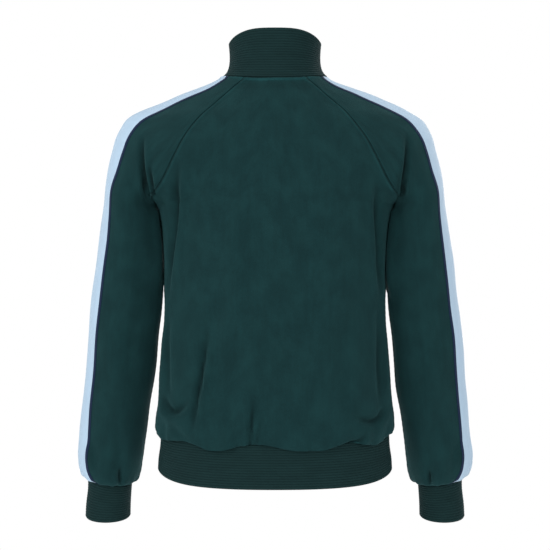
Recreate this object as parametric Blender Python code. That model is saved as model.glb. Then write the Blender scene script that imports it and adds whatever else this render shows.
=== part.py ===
"""Funnel-neck raglan track top, filled out as it is worn, with the front towards -Y.

Metres, +Z up. The origin is the middle of the neck opening, where the wearer's
neck and shoulders hold the garment up. Every piece of cloth is a loft through
sections. The tables give each section's size, and the functions turn them into
rows of points for the outer face and the inner face of the cloth.
"""

import bmesh
import bpy
import numpy as np

# ---------------------------------------------------------------- cloth and ribs
CLOTH = 0.0020  # thickness of the brushed jersey
RIB_CLOTH = 0.0024  # thickness of the rib between its ridges
SEAM_GAP = 0.0003  # clear space between two pieces at a seam
RIDGE_HEIGHT = 0.0009
COLLAR_RIDGES = 19
HEM_RIDGES = 17
CUFF_RIDGES = 15

# ---------------------------------------------------------------- driving heights
ARMPIT_HEIGHT = -0.2045
FAN_FOOT = -0.2345  # the sleeve's rings are level below this height
HEM_SEAM_HEIGHT = -0.587
HEM_DROP = 0.070  # height of the ribbed hem
HEM_TILT = 0.022  # how much higher the hem is at the front than at the back
HEM_DEPTH = 0.24  # the hem's depth, over which it tilts
HEM_TILT_FROM = -0.42  # the body isn't tilted above this height
CUFF_SEAM_HEIGHT = -0.670
CUFF_DROP = 0.0585
CUFF_LEAN = 0.17  # drop of the cuff's edge for each metre towards the back
CUFF_LEAN_FROM = -0.56

# ---------------------------------------------------------------- neck
NECK_SIDE_X = 0.0865  # where the collar's seam crosses the shoulder ridge
NECK_SIDE_HEIGHT = 0.0050
NECK_LOW = {"back": -0.0050, "front": -0.0380}
NECK_CURVE = {"back": 2.2, "front": 2.0}
NECK_DEPTH = 0.0800
ROWS_BEND_FROM = -0.130  # rows above this height bend towards the neck's curve

RIM_HALF_WIDTH = 0.0755
RIM_DEPTH = {"back": 0.0700, "front": 0.0720}
RIM_HEIGHT = {"back": 0.0772, "front": 0.0455}
RIM_SIDE_HEIGHT = 0.0610
RIM_SQUARENESS = 2.15
COLLAR_FLARE = 7.0  # how soon the collar turns upright above its seam
COLLAR_WAIST = 0.0020

# ---------------------------------------------------------------- sleeve tape
TAPE_WIDTH = 0.060
TAPE_THICKNESS = 0.0009
TAPE_END_GAP = 0.0006  # between the tape's ends and the seams there

# ---------------------------------------------------------------- how many points
BODY_COLUMNS = 20
BODY_LEVELS = 11  # from the hem to the armpit
SEAM_COLUMNS = 9  # along each raglan seam
NECK_COLUMNS = {"back": 2, "front": 3}  # from a raglan seam to the tape
TAPE_COLUMNS = 3
SLEEVE_LEVELS = 11
FAN_RINGS = 9
TAPE_START = SEAM_COLUMNS + NECK_COLUMNS["back"]
TAPE_SPAN = slice(TAPE_START, TAPE_START + TAPE_COLUMNS + 1)  # the sleeve's columns under it
HEM_COLUMNS = 38
CUFF_COLUMNS = 18
INNER_LEVELS = {"collar": 9, "hem": 4, "cuff": 4}  # rows on the plain inside of the ribs
LINE_SAMPLES = 400  # points of a line before it is divided into columns
CORNER_SHARE = 0.8  # where the raglan seam meets the neck, along the armhole's edge
CROWDING = 0.1  # how much closer rows are near the ends of a piece
UNDERARM_CROWDING = 1.2  # above 1, the raglan seam's columns are closer near the underarm


# ---------------------------------------------------------------- tables
class Table:
    """Rows of sizes under named columns, read as a smooth curve along the first one."""

    def __init__(self, columns, *rows):
        values = np.array(rows, float)
        self.places = values[:, 0]
        self.columns = dict(zip(columns, values.T))

    def read(self, column, place):
        known, value = self.places, self.columns[column]
        step = np.diff(known)
        rise = np.diff(value) / step
        inner = (rise[:-1] * step[1:] + rise[1:] * step[:-1]) / (step[1:] + step[:-1])
        slope = np.concatenate([rise[:1], inner, rise[-1:]])
        place = np.clip(place, known[0], known[-1])
        i = np.clip(np.searchsorted(known, place) - 1, 0, len(step) - 1)
        t = (place - known[i]) / step[i]
        value_part = (1 + 2 * t) * (1 - t) ** 2 * value[i] + t**2 * (3 - 2 * t) * value[i + 1]
        slope_part = t * (1 - t) ** 2 * slope[i] - t**2 * (1 - t) * slope[i + 1]
        return value_part + slope_part * step[i]


# Sections of the body. Above the armpit, half_width is the crease between body and sleeve.
BODY = Table(
    ("height", "half_width", "back", "front", "squareness"),
    (-0.587, 0.1870, 0.1120, 0.1160, 2.35),
    (-0.578, 0.1958, 0.1180, 0.1220, 2.35),
    (-0.562, 0.1982, 0.1205, 0.1250, 2.35),
    (-0.535, 0.1955, 0.1170, 0.1225, 2.35),
    (-0.480, 0.1895, 0.1115, 0.1190, 2.35),
    (-0.420, 0.1853, 0.1115, 0.1195, 2.35),
    (-0.361, 0.1825, 0.1160, 0.1230, 2.35),
    (-0.279, 0.1838, 0.1235, 0.1285, 2.40),
    (-0.2345, 0.1882, 0.1255, 0.1295, 2.40),
    (-0.2045, 0.1947, 0.1260, 0.1290, 2.40),
    (-0.180, 0.2055, 0.1240, 0.1270, 2.40),
    (-0.155, 0.2115, 0.1210, 0.1230, 2.35),
    (-0.130, 0.2150, 0.1170, 0.1180, 2.30),
    (-0.097, 0.2160, 0.1100, 0.1090, 2.10),
    (-0.064, 0.2150, 0.1010, 0.0970, 1.80),
    (-0.048, 0.2140, 0.0960, 0.0905, 1.58),
    (-0.031, 0.2130, 0.0900, 0.0830, 1.52),
    (-0.015, 0.2120, 0.0830, 0.0760, 1.62),
    (0.000, 0.2110, 0.0760, 0.0700, 1.88),
    (0.006, 0.2110, 0.0730, 0.0680, 2.00),
)

# The shoulder's outline from the front.
SHOULDER = Table(
    ("height", "half_width"),
    (-0.2045, 0.2790),
    (-0.180, 0.2762),
    (-0.147, 0.2710),
    (-0.114, 0.2637),
    (-0.097, 0.2595),
    (-0.081, 0.2520),
    (-0.064, 0.2400),
    (-0.048, 0.2135),
    (-0.031, 0.1735),
    (-0.015, 0.1300),
    (0.0012, 0.0930),
    (0.0050, 0.0865),
)

# Sections of the sleeve, from the cuff's seam to the armpit.
SLEEVE = Table(
    ("height", "inner", "outer", "half_depth", "middle_y"),
    (-0.670, 0.2417, 0.3143, 0.0350, -0.0500),
    (-0.664, 0.2320, 0.3220, 0.0430, -0.0490),
    (-0.652, 0.2240, 0.3290, 0.0490, -0.0475),
    (-0.632, 0.2195, 0.3315, 0.0530, -0.0450),
    (-0.590, 0.2150, 0.3275, 0.0550, -0.0400),
    (-0.545, 0.2090, 0.3225, 0.0570, -0.0340),
    (-0.490, 0.1995, 0.3160, 0.0590, -0.0260),
    (-0.430, 0.1920, 0.3105, 0.0610, -0.0180),
    (-0.361, 0.1850, 0.3010, 0.0630, -0.0100),
    (-0.279, 0.1863, 0.2907, 0.0680, -0.0040),
    (-0.2345, 0.1908, 0.2838, 0.0750, -0.0010),
    (-0.2045, 0.1947, 0.2790, 0.0800, 0.0000),
)

# How far the tape's back edge lies behind the sleeve's outermost line, by height there.
TAPE_LINE = Table(
    ("z", "behind"),
    (-0.670, 0.0520),
    (-0.630, 0.0510),
    (-0.550, 0.0512),
    (-0.450, 0.0530),
    (-0.360, 0.0548),
    (-0.300, 0.0590),
    (-0.250, 0.0655),
    (-0.200, 0.0710),
    (-0.165, 0.0710),
    (-0.120, 0.0655),
    (-0.085, 0.0600),
    (-0.050, 0.0550),
    (-0.020, 0.0510),
    (0.010, 0.0460),
)

# The raglan seams from the front, from the armpit to the neck.
RAGLAN = {
    "back": Table(
        ("step", "x", "height"),
        (0, 0.1947, -0.2045),
        (1, 0.1975, -0.1945),
        (2, 0.1890, -0.1830),
        (3, 0.1770, -0.1655),
        (4, 0.1580, -0.1274),
        (5, 0.1405, -0.0958),
        (6, 0.1186, -0.0670),
        (7, 0.1000, -0.0480),
        (8, 0.0750, -0.0250),
        (9, 0.0480, -0.0023),
    ),
    "front": Table(
        ("step", "x", "height"),
        (0, 0.1947, -0.2045),
        (1, 0.1970, -0.1945),
        (2, 0.1860, -0.1830),
        (3, 0.1730, -0.1650),
        (4, 0.1520, -0.1310),
        (5, 0.1280, -0.0960),
        (6, 0.1070, -0.0710),
        (7, 0.0870, -0.0490),
        (8, 0.0720, -0.0330),
        (9, 0.0580, -0.0187),
    ),
}

# The ribbed hem, from its seam down.
HEM = Table(
    ("share", "half_width", "back", "front"),
    (0.0, 0.1865, 0.1115, 0.1155),
    (0.3, 0.1875, 0.1120, 0.1160),
    (0.7, 0.1905, 0.1145, 0.1180),
    (1.0, 0.1915, 0.1150, 0.1185),
)
HEM_SQUARENESS = 2.35

# The ribbed cuff, from its seam down.
CUFF = Table(
    ("share", "middle_x", "middle_y", "half_width", "half_depth"),
    (0.0, 0.2780, -0.0500, 0.0360, 0.0345),
    (0.3, 0.2790, -0.0520, 0.0355, 0.0340),
    (0.7, 0.2815, -0.0550, 0.0365, 0.0345),
    (1.0, 0.2825, -0.0575, 0.0370, 0.0350),
)

# The largest folds: where each runs, seen from the front, how wide it is and how deep.
FOLDS = {
    "back": Table(
        ("start_x", "start_z", "end_x", "end_z", "width", "depth"),
        (0.172, -0.215, 0.168, -0.360, 0.016, 0.0045),
        (-0.172, -0.215, -0.166, -0.350, 0.016, 0.0045),
        (0.170, -0.508, 0.130, -0.528, 0.015, 0.0045),
        (-0.166, -0.520, -0.128, -0.532, 0.015, 0.0040),
        (0.106, -0.450, 0.128, -0.535, 0.016, 0.0035),
        (-0.100, -0.462, -0.112, -0.545, 0.016, 0.0035),
        (0.207, -0.110, 0.201, -0.170, 0.016, 0.0030),
        (-0.207, -0.110, -0.201, -0.170, 0.016, 0.0030),
    ),
    "front": Table(
        ("start_x", "start_z", "end_x", "end_z", "width", "depth"),
        (0.170, -0.220, 0.160, -0.350, 0.016, 0.0045),
        (-0.170, -0.220, -0.162, -0.340, 0.016, 0.0045),
        (0.150, -0.505, 0.112, -0.545, 0.016, 0.0045),
        (-0.156, -0.500, -0.110, -0.540, 0.016, 0.0045),
        (0.040, -0.490, 0.058, -0.560, 0.016, 0.0035),
        (-0.052, -0.500, -0.040, -0.560, 0.016, 0.0035),
        (0.205, -0.105, 0.200, -0.168, 0.016, 0.0035),
        (-0.205, -0.105, -0.200, -0.168, 0.016, 0.0035),
    ),
}

SLEEVES = {"sleeve_left": 1, "sleeve_right": -1}  # the sign of x on each side
PANELS = ("back", "front")
UNDERARM_OUT = (0, 0, -1)
CREASE_RISE = {"at": 0.017, "beside": 0.052}  # height over which body and sleeve join
CREASE_ROUNDING = 0.08  # the larger it is, the rounder the crease's floor
ROUNDING_RISE = 0.010  # height above the armpit over which the rounding begins
ROUNDING_REACH = 0.025  # how far beside the crease it ends
CREASE_REACH = 0.045  # how far beside the crease its slower fade begins


# ---------------------------------------------------------------- the cloth's surface
def section_depth(x, half_width, depth, squareness):
    """Half the depth of a rounded section, at x from its middle."""
    share = np.clip(np.abs(x) / half_width, 0, 1)
    return depth * (1 - share**squareness) ** (1 / squareness)


def crease_fade(x, z):
    """0 at the armpit's height, where body and sleeve part, and 1 over the shoulder."""
    above = np.maximum(z - ARMPIT_HEIGHT, 0)
    off_crease = (np.abs(x) - BODY.read("half_width", z)) / CREASE_REACH
    beside = 1 - np.exp(-(off_crease**2))
    rise = CREASE_RISE["at"] + (CREASE_RISE["beside"] - CREASE_RISE["at"]) * beside
    return 1 - np.exp(-((above / rise) ** (1 + beside)))


def rounded_maximum(body, sleeve, off_crease, z):
    """The deeper of two sections, with a rounded floor where they meet above the armpit."""
    width = CREASE_ROUNDING * np.clip((z - ARMPIT_HEIGHT) / ROUNDING_RISE, 1e-6, 1)
    near = np.maximum(1 - np.abs(body - sleeve) / width, 0)
    near = near * np.exp(-((off_crease / ROUNDING_REACH) ** 2))
    return np.maximum(body, sleeve) + near**2 * width / 4


def fold_depth(x, z, side):
    """How far the large folds sink the cloth: a soft trough along each fold's line."""
    depth = np.zeros(np.broadcast(x, z).shape)
    folds = FOLDS[side].columns
    for start_x, start_z, end_x, end_z, width, deepest in zip(*folds.values()):
        run_x, run_z = end_x - start_x, end_z - start_z
        along = ((x - start_x) * run_x + (z - start_z) * run_z) / (run_x**2 + run_z**2)
        along = np.clip(along, 0, 1)
        off = np.hypot(x - start_x - along * run_x, z - start_z - along * run_z)
        depth += deepest * np.exp(-((off / width) ** 2))
    return depth


def surface(x, z, side):
    """The point of the garment's outer face, on its back or its front, at x and z.

    Below the armpit the body and the sleeve are rounded sections of their own.
    Above it they fade into one section, as wide as the shoulder's outline.
    """
    hanging = z < ARMPIT_HEIGHT
    above = np.maximum(z, ARMPIT_HEIGHT)
    crease = BODY.read("half_width", z)
    inner = np.where(hanging, SLEEVE.read("inner", z), crease)
    outer = np.where(hanging, SLEEVE.read("outer", z), SHOULDER.read("half_width", above))
    deepest, squareness = BODY.read(side, z), BODY.read("squareness", z)
    body = section_depth(x, crease, deepest, squareness)
    sleeve_half = np.maximum((outer - inner) / 2, SEAM_GAP)
    off_middle = np.abs(x) - (outer + inner) / 2
    sleeve = section_depth(off_middle, sleeve_half, SLEEVE.read("half_depth", z), 2.0)
    whole = section_depth(x, SHOULDER.read("half_width", above), deepest, squareness)
    parted = rounded_maximum(body, sleeve, np.abs(x) - crease, z)
    depth = parted + (whole - parted) * crease_fade(x, z)
    away_from_edge = np.clip(3 * depth / deepest - 0.5, 0, 1)
    depth = depth - fold_depth(x, z, side) * away_from_edge
    on_sleeve = hanging & (np.abs(x) > (crease + inner) / 2)
    middle = np.where(on_sleeve, SLEEVE.read("middle_y", z), 0)
    y = middle + (depth if side == "back" else -depth)
    return np.stack(np.broadcast_arrays(x, y, z), axis=-1)


def neck_height(x, side):
    """Height of the collar's seam at x."""
    rise = (np.abs(x) / NECK_SIDE_X) ** NECK_CURVE[side]
    return NECK_LOW[side] + (NECK_SIDE_HEIGHT - NECK_LOW[side]) * rise


def hem_tilt(points):
    """The points, raised towards the front near the hem."""
    near = (HEM_TILT_FROM - points[..., 2]) / (HEM_TILT_FROM - HEM_SEAM_HEIGHT)
    lifted = points.copy()
    lifted[..., 2] += np.clip(near, 0, 1) ** 2 * HEM_TILT * (0.5 - points[..., 1] / HEM_DEPTH)
    return lifted


def cuff_lean(points):
    """The points, lowered towards the back near the cuff."""
    near = (CUFF_LEAN_FROM - points[..., 2]) / (CUFF_LEAN_FROM - CUFF_SEAM_HEIGHT)
    off = points[..., 1] - SLEEVE.read("middle_y", points[..., 2])
    leaned = points.copy()
    leaned[..., 2] -= np.clip(near, 0, 1) ** 2 * CUFF_LEAN * off
    return leaned


# ---------------------------------------------------------------- rows and rings
def length_of(line):
    return np.linalg.norm(np.diff(line, axis=0), axis=1).sum()


def divided(line, distances):
    """Points of a line at these distances from its start."""
    steps = np.linalg.norm(np.diff(line, axis=0), axis=1)
    run = np.concatenate([[0], np.cumsum(steps)])
    return np.stack([np.interp(distances, run, line[:, axis]) for axis in range(3)], axis=-1)


def crowded(start, end, count):
    """Values from start to end, closer together towards both."""
    even = np.linspace(0, 1, count + 1)
    return start + (end - start) * (even - CROWDING * np.sin(2 * np.pi * even))


def level_half(z, side, hand):
    """Half of the sleeve's ring at one height, from the underarm to the outermost line."""
    turn = np.linspace(0, np.pi, LINE_SAMPLES)
    inner, outer = SLEEVE.read("inner", z), SLEEVE.read("outer", z)
    x = (inner + outer) / 2 - (outer - inner) / 2 * np.cos(turn)
    return surface(hand * x, np.full_like(x, z), side)


def armhole_edge(share, side):
    """x and height of the sleeve's upper edge: up the raglan seam, then along the neck."""
    seam = RAGLAN[side]
    corner_x = seam.columns["x"][-1]
    on_seam = np.clip(share / CORNER_SHARE, 0, 1) * seam.places[-1]
    on_neck = np.clip((share - CORNER_SHARE) / (1 - CORNER_SHARE), 0, 1)
    neck_x = corner_x + (NECK_SIDE_X - corner_x) * on_neck
    past_corner = share > CORNER_SHARE
    x = np.where(past_corner, neck_x, seam.read("x", on_seam))
    z = np.where(past_corner, neck_height(neck_x, side), seam.read("height", on_seam))
    return x, z


def shoulder_point(rise):
    """x and height on the outermost line, at this share of the way from the arm to the neck."""
    z = np.linspace(FAN_FOOT, NECK_SIDE_HEIGHT, LINE_SAMPLES)
    above = SHOULDER.read("half_width", np.maximum(z, ARMPIT_HEIGHT))
    x = np.where(z < ARMPIT_HEIGHT, SLEEVE.read("outer", z), above)
    run = np.concatenate([[0], np.cumsum(np.hypot(np.diff(x), np.diff(z)))])
    return np.interp(rise * run[-1], run, x), np.interp(rise * run[-1], run, z)


def fan_half(rise, side, hand):
    """Half of a ring of the sleeve's head, from the underarm to the outermost line.

    The rings fan out from the underarm: the first is level, and the last, with a
    rise of 1, is the armhole's edge. Between them each is bent by a share of that edge.
    """
    share = (1 - np.cos(np.linspace(0, np.pi, LINE_SAMPLES))) / 2
    foot_z = FAN_FOOT + (ARMPIT_HEIGHT - FAN_FOOT) * rise**0.7
    foot_x = SLEEVE.read("inner", foot_z)
    top_x, top_z = shoulder_point(rise)
    edge_x, edge_z = armhole_edge(share, side)
    chord_x = edge_x[0] + (edge_x[-1] - edge_x[0]) * share
    chord_z = edge_z[0] + (edge_z[-1] - edge_z[0]) * share
    bend = rise**1.5
    x = foot_x + (top_x - foot_x) * share + bend * (edge_x - chord_x)
    z = foot_z + (top_z - foot_z) * share + bend * (edge_z - chord_z)
    x = np.where(z < ARMPIT_HEIGHT, np.maximum(x, SLEEVE.read("inner", z)), x)
    return surface(hand * x, z, side)


def column_shares(side, seam_share, rise):
    """Where a ring's columns lie between the underarm and the tape.

    They are even in a ring with no rise, and sewn to the seam in one with a rise of 1.
    """
    seam, neck = SEAM_COLUMNS, NECK_COLUMNS[side]
    even = np.linspace(0, 1, seam + neck + 1)
    on_seam = seam_share * np.linspace(0, 1, seam + 1) ** UNDERARM_CROWDING
    on_neck = np.linspace(seam_share, 1, neck + 1)[1:]
    return even + (np.concatenate([on_seam, on_neck]) - even) * rise**2


def seam_length(side, hand):
    x, z = armhole_edge(np.linspace(0, CORNER_SHARE, LINE_SAMPLES), side)
    return length_of(surface(hand * x, z, side))


def closed_ring(halves, rise, hand):
    """A ring's points: from the underarm up the back, across the tape and down the front."""
    behind = TAPE_LINE.read("behind", halves["back"][-1, 2])
    reach = {"back": behind, "front": TAPE_WIDTH - behind}
    size = {side: length_of(halves[side]) for side in halves}
    plain = {side: size[side] - reach[side] for side in halves}
    shares = {
        side: column_shares(side, min(seam_length(side, hand) / plain[side], 1), rise)
        for side in halves
    }
    line = np.concatenate([halves["back"], halves["front"][::-1][1:]])
    up = shares["back"] * plain["back"]
    across = plain["back"] + np.linspace(0, TAPE_WIDTH, TAPE_COLUMNS + 1)[1:-1]
    down = size["back"] + size["front"] - shares["front"][::-1] * plain["front"]
    return divided(line, np.concatenate([up, across, down[:-1]]))


def sleeve_rings(hand):
    """The sleeve's outer points, a row for each ring from the cuff to the armhole."""
    rings = []
    for z in crowded(CUFF_SEAM_HEIGHT, FAN_FOOT, SLEEVE_LEVELS):
        halves = {side: level_half(z, side, hand) for side in ("back", "front")}
        rings.append(closed_ring(halves, 0, hand))
    for rise in np.linspace(0, 1, FAN_RINGS + 1)[1:]:
        halves = {side: fan_half(rise, side, hand) for side in ("back", "front")}
        rings.append(closed_ring(halves, rise, hand))
    return np.array(rings)


def raglan_points(ring, side):
    """The part of the armhole's edge that is sewn to the back or the front, armpit first."""
    if side == "back":
        return ring[: SEAM_COLUMNS + 1]
    return np.concatenate([ring[:1], ring[: -SEAM_COLUMNS - 1 : -1]])


def neck_points(ring):
    """The part of the armhole's edge that is sewn to the collar, from the back to the front."""
    return ring[SEAM_COLUMNS : len(ring) - SEAM_COLUMNS + 1]


def row_across(edge_x, edge_z, side):
    """A row of a panel's outer points, from its right edge to its left one."""
    corner_x = RAGLAN[side].columns["x"][-1]
    corner_z = RAGLAN[side].columns["height"][-1]
    x = edge_x * np.sin(np.linspace(-np.pi / 2, np.pi / 2, LINE_SAMPLES))
    share = np.clip((edge_z - ROWS_BEND_FROM) / (corner_z - ROWS_BEND_FROM), 0, 1)
    curve = neck_height(x * corner_x / edge_x, side) - neck_height(corner_x, side)
    line = surface(x, edge_z + share**2 * curve, side)
    return divided(line, np.linspace(0, length_of(line), BODY_COLUMNS + 1))


def panel_rows(side, raglan):
    """The outer points of the back or the front, a row for each level from the hem up."""
    levels = crowded(HEM_SEAM_HEIGHT, ARMPIT_HEIGHT, BODY_LEVELS)
    rows = [row_across(BODY.read("half_width", z), z, side) for z in levels]
    rows += [row_across(x, z, side) for x, _, z in raglan[1:]]
    return np.array(rows)


# ---------------------------------------------------------------- thickness and seams
def unit(vectors):
    size = np.linalg.norm(vectors, axis=-1, keepdims=True)
    return vectors / np.maximum(size, 1e-9)


def grid_normals(grid, tube):
    """Sum of the directions of the faces that meet at each point of a grid."""
    ring = joined_ends(grid, tube)
    faces = np.cross(ring[:-1, 1:] - ring[1:, :-1], ring[1:, 1:] - ring[:-1, :-1])
    total = np.zeros_like(ring)
    for row in (slice(None, -1), slice(1, None)):
        for column in (slice(None, -1), slice(1, None)):
            total[row, column] += faces
    if tube:
        total[:, 0] += total[:, -1]
        total = total[:, :-1]
    return total


def outward(grid, tube, middle):
    """The directions of a grid's points, turned away from the middle of the piece."""
    total = grid_normals(grid, tube)
    facing = ((grid - middle) * unit(total)).sum()
    return total * np.sign(facing)


def shared_directions(grids, directions):
    """The directions, summed where points of different pieces meet at a seam."""
    names = list(grids)
    points = np.concatenate([grids[name].reshape(-1, 3) for name in names])
    sums = np.concatenate([directions[name].reshape(-1, 3) for name in names])
    places, index = np.unique(np.round(points, 6), axis=0, return_inverse=True)
    total = np.zeros_like(places)
    np.add.at(total, index.ravel(), sums)
    shared = unit(total)[index.ravel()]
    result, start = {}, 0
    for name in names:
        size = grids[name][..., 0].size
        result[name] = shared[start : start + size].reshape(grids[name].shape)
        start += size
    return result


def drawn_in(edge, inside, closed):
    """An edge's points, moved half a seam's gap towards the inside of their piece."""
    if closed:
        run = np.roll(edge, -1, axis=0) - np.roll(edge, 1, axis=0)
    else:
        run = np.gradient(edge, axis=0)
    along = unit(run)
    across = inside - edge
    across = across - (across * along).sum(axis=-1, keepdims=True) * along
    return edge + unit(across) * SEAM_GAP / 2


def level_directions(directions):
    """The directions with no rise or fall, for a seam that lies in a level plane."""
    flat = directions.copy()
    flat[..., 2] = 0
    return unit(flat)


def tube_radials(ring):
    """The level directions that point out of a ring."""
    run = np.roll(ring, -1, axis=0) - np.roll(ring, 1, axis=0)
    out = np.stack([run[:, 1], -run[:, 0], np.zeros(len(run))], axis=-1)
    facing = ((ring - ring.mean(axis=0)) * out).sum()
    return unit(out * np.sign(facing))


# ---------------------------------------------------------------- ribbed pieces
def ridge(share, ridges):
    """Height of the ribs at each share of a ribbed piece's length."""
    return RIDGE_HEIGHT * np.sin(np.pi * ridges * share) ** 2


def collar_wall(share, seam):
    """The collar between its ridges: from its seam, at 0, to its rim, at 1.

    Each point keeps its direction from the neck's middle. The wall turns upright soon
    above the seam, and is a little narrower halfway up.
    """
    angle = np.arctan2(seam[:, 1], seam[:, 0])
    back = seam[:, 1] > 0
    depth = np.where(back, RIM_DEPTH["back"], RIM_DEPTH["front"])
    across, deep = np.abs(np.cos(angle)) / RIM_HALF_WIDTH, np.abs(np.sin(angle)) / depth
    reach = (across**RIM_SQUARENESS + deep**RIM_SQUARENESS) ** (-1 / RIM_SQUARENESS)
    end_height = np.where(back, RIM_HEIGHT["back"], RIM_HEIGHT["front"])
    height = RIM_SIDE_HEIGHT + (end_height - RIM_SIDE_HEIGHT) * np.sin(angle) ** 2
    share = share[:, None]
    flare = (np.exp(-COLLAR_FLARE * share) - np.exp(-COLLAR_FLARE)) / (1 - np.exp(-COLLAR_FLARE))
    wide = np.hypot(seam[:, 0], seam[:, 1])
    radius = reach + (wide - reach) * flare - COLLAR_WAIST * np.sin(np.pi * share)
    z = seam[:, 2] + (height - seam[:, 2]) * share
    return np.stack([radius * np.cos(angle), radius * np.sin(angle), z], axis=-1)


def hem_wall(share):
    """The ribbed hem between its ridges: rounded sections below the body's seam."""
    angle = np.arange(HEM_COLUMNS) * 2 * np.pi / HEM_COLUMNS
    power = 2 / HEM_SQUARENESS
    cos, sin = np.cos(angle), np.sin(angle)
    share = share[:, None]
    x = HEM.read("half_width", share) * np.sign(cos) * np.abs(cos) ** power
    depth = np.where(sin > 0, HEM.read("back", share), HEM.read("front", share))
    y = depth * np.sign(sin) * np.abs(sin) ** power
    z = HEM_SEAM_HEIGHT - HEM_DROP * share
    return np.stack(np.broadcast_arrays(x, y, z), axis=-1)


def cuff_wall(share, hand):
    """The ribbed cuff between its ridges: elliptical sections below the sleeve's seam."""
    angle = np.arange(CUFF_COLUMNS) * 2 * np.pi / CUFF_COLUMNS
    share = share[:, None]
    x = CUFF.read("middle_x", share) + CUFF.read("half_width", share) * np.cos(angle)
    y = CUFF.read("middle_y", share) + CUFF.read("half_depth", share) * np.sin(angle)
    z = CUFF_SEAM_HEIGHT - CUFF_DROP * share
    return np.stack(np.broadcast_arrays(hand * x, y, z), axis=-1)


def ribbed(wall, ridges, inner_levels, seam_directions=None):
    """The outer and inner points of a ribbed tube, whose seam is its first row.

    At a level seam the wall's end is level. At another it follows the given directions.
    """
    outer_share = np.linspace(0, 1, 2 * ridges + 1)
    inner_share = np.linspace(0, 1, inner_levels) ** 1.5
    outer, inner = wall(outer_share), wall(inner_share)
    out = np.array([tube_radials(ring) for ring in outer])
    in_from = np.array([tube_radials(ring) for ring in inner])
    if seam_directions is not None:
        out[0] = in_from[0] = seam_directions
    outer = outer + out * ridge(outer_share, ridges)[:, None, None]
    inner = inner - in_from * RIB_CLOTH
    for grid in (outer, inner):
        grid[0] = drawn_in(grid[0], grid[1], closed=True)
    return outer, inner


# ---------------------------------------------------------------- meshes
def joined_ends(grid, tube):
    """The grid, with a tube's first column repeated as its last."""
    return np.concatenate([grid, grid[:, :1]], axis=1) if tube else grid


def grid_triangles(index, grid, tube):
    """Two triangles for each cell of a grid, cut along its shorter diagonal."""
    index, grid = joined_ends(index, tube), joined_ends(grid, tube)
    corners = [index[:-1, :-1], index[:-1, 1:], index[1:, 1:], index[1:, :-1]]
    rising = np.linalg.norm(grid[1:, 1:] - grid[:-1, :-1], axis=-1)
    falling = np.linalg.norm(grid[1:, :-1] - grid[:-1, 1:], axis=-1)
    cells = np.stack(corners, axis=-1)
    turned = np.roll(cells, -1, axis=-1)
    cells = np.where((rising <= falling)[..., None], cells, turned).reshape(-1, 4)
    return np.concatenate([cells[:, [0, 1, 2]], cells[:, [0, 2, 3]]])


def wall_object(name, outer, inner, tube, material, collection, under=None):
    """A closed wall of cloth between two grids of points with equal columns.

    A strip that lies on another piece is cut along the same diagonals as what is under it.
    """
    outer_index = np.arange(outer[..., 0].size).reshape(outer.shape[:2])
    inner_index = outer_index.size + np.arange(inner[..., 0].size).reshape(inner.shape[:2])
    faces = []
    for index, grid in ((outer_index, outer), (inner_index, inner)):
        faces.append(grid_triangles(index, grid if under is None else under, tube))
    rims = [np.stack([outer_index[row], inner_index[row]]) for row in (0, -1)]
    rims = [joined_ends(rim, tube) for rim in rims]
    if not tube:
        rims += [np.stack([outer_index[:, column], inner_index[:, column]]) for column in (0, -1)]
    for rim in rims:
        faces.append(np.stack([rim[0, :-1], rim[0, 1:], rim[1, 1:]], axis=-1))
        faces.append(np.stack([rim[0, :-1], rim[1, 1:], rim[1, :-1]], axis=-1))

    mesh = bpy.data.meshes.new(name)
    points = np.concatenate([outer.reshape(-1, 3), inner.reshape(-1, 3)])
    mesh.from_pydata(points.tolist(), [], np.concatenate(faces).tolist())
    shell = bmesh.new()
    shell.from_mesh(mesh)
    bmesh.ops.recalc_face_normals(shell, faces=shell.faces)
    shell.to_mesh(mesh)
    shell.free()
    mesh.shade_smooth()
    mesh.set_sharp_from_angle(angle=np.radians(50))
    mesh.materials.append(material)
    piece = bpy.data.objects.new(name, mesh)
    collection.objects.link(piece)
    return piece


def cloth_material(name, colour, roughness):
    material = bpy.data.materials.new(name)
    material.use_nodes = True
    shader = material.node_tree.nodes["Principled BSDF"]
    shader.inputs["Base Color"].default_value = (*colour, 1)
    shader.inputs["Roughness"].default_value = roughness
    shader.inputs["Metallic"].default_value = 0
    return material


# ---------------------------------------------------------------- pieces
def jersey_grids():
    """Outer points and outward directions of the back, the front and both sleeves."""
    grids = {name: sleeve_rings(hand) for name, hand in SLEEVES.items()}
    for side in PANELS:
        grids[side] = panel_rows(side, raglan_points(grids["sleeve_left"][-1], side))
    directions = {}
    for name in SLEEVES:
        directions[name] = outward(grids[name], True, grids[name].mean(axis=1, keepdims=True))
    for side in PANELS:
        directions[side] = outward(grids[side], False, np.array([0, 0, HEM_SEAM_HEIGHT / 2]))
    shared = shared_directions(grids, directions)
    for name in SLEEVES:
        shared[name][-1, 0] = UNDERARM_OUT
        shared[name][0] = level_directions(shared[name][0])
        neck = neck_points(np.arange(shared[name].shape[1]))
        shared[name][-1, neck] = mitred(shared[name][-1, neck], grids[name][-1, neck])
    for side in PANELS:
        shared[side][BODY_LEVELS, [0, -1]] = UNDERARM_OUT
        shared[side][0] = level_directions(shared[side][0])
        shared[side][-1] = mitred(shared[side][-1], grids[side][-1])
    return grids, shared


def mitred(directions, points):
    """Directions at the collar's seam, halfway between the shoulder's and the collar's own."""
    out = np.stack([points[..., 0] / NECK_SIDE_X**2, points[..., 1] / NECK_DEPTH**2], axis=-1)
    return unit(directions + unit(np.pad(out, [(0, 0), (0, 1)])))


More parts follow.
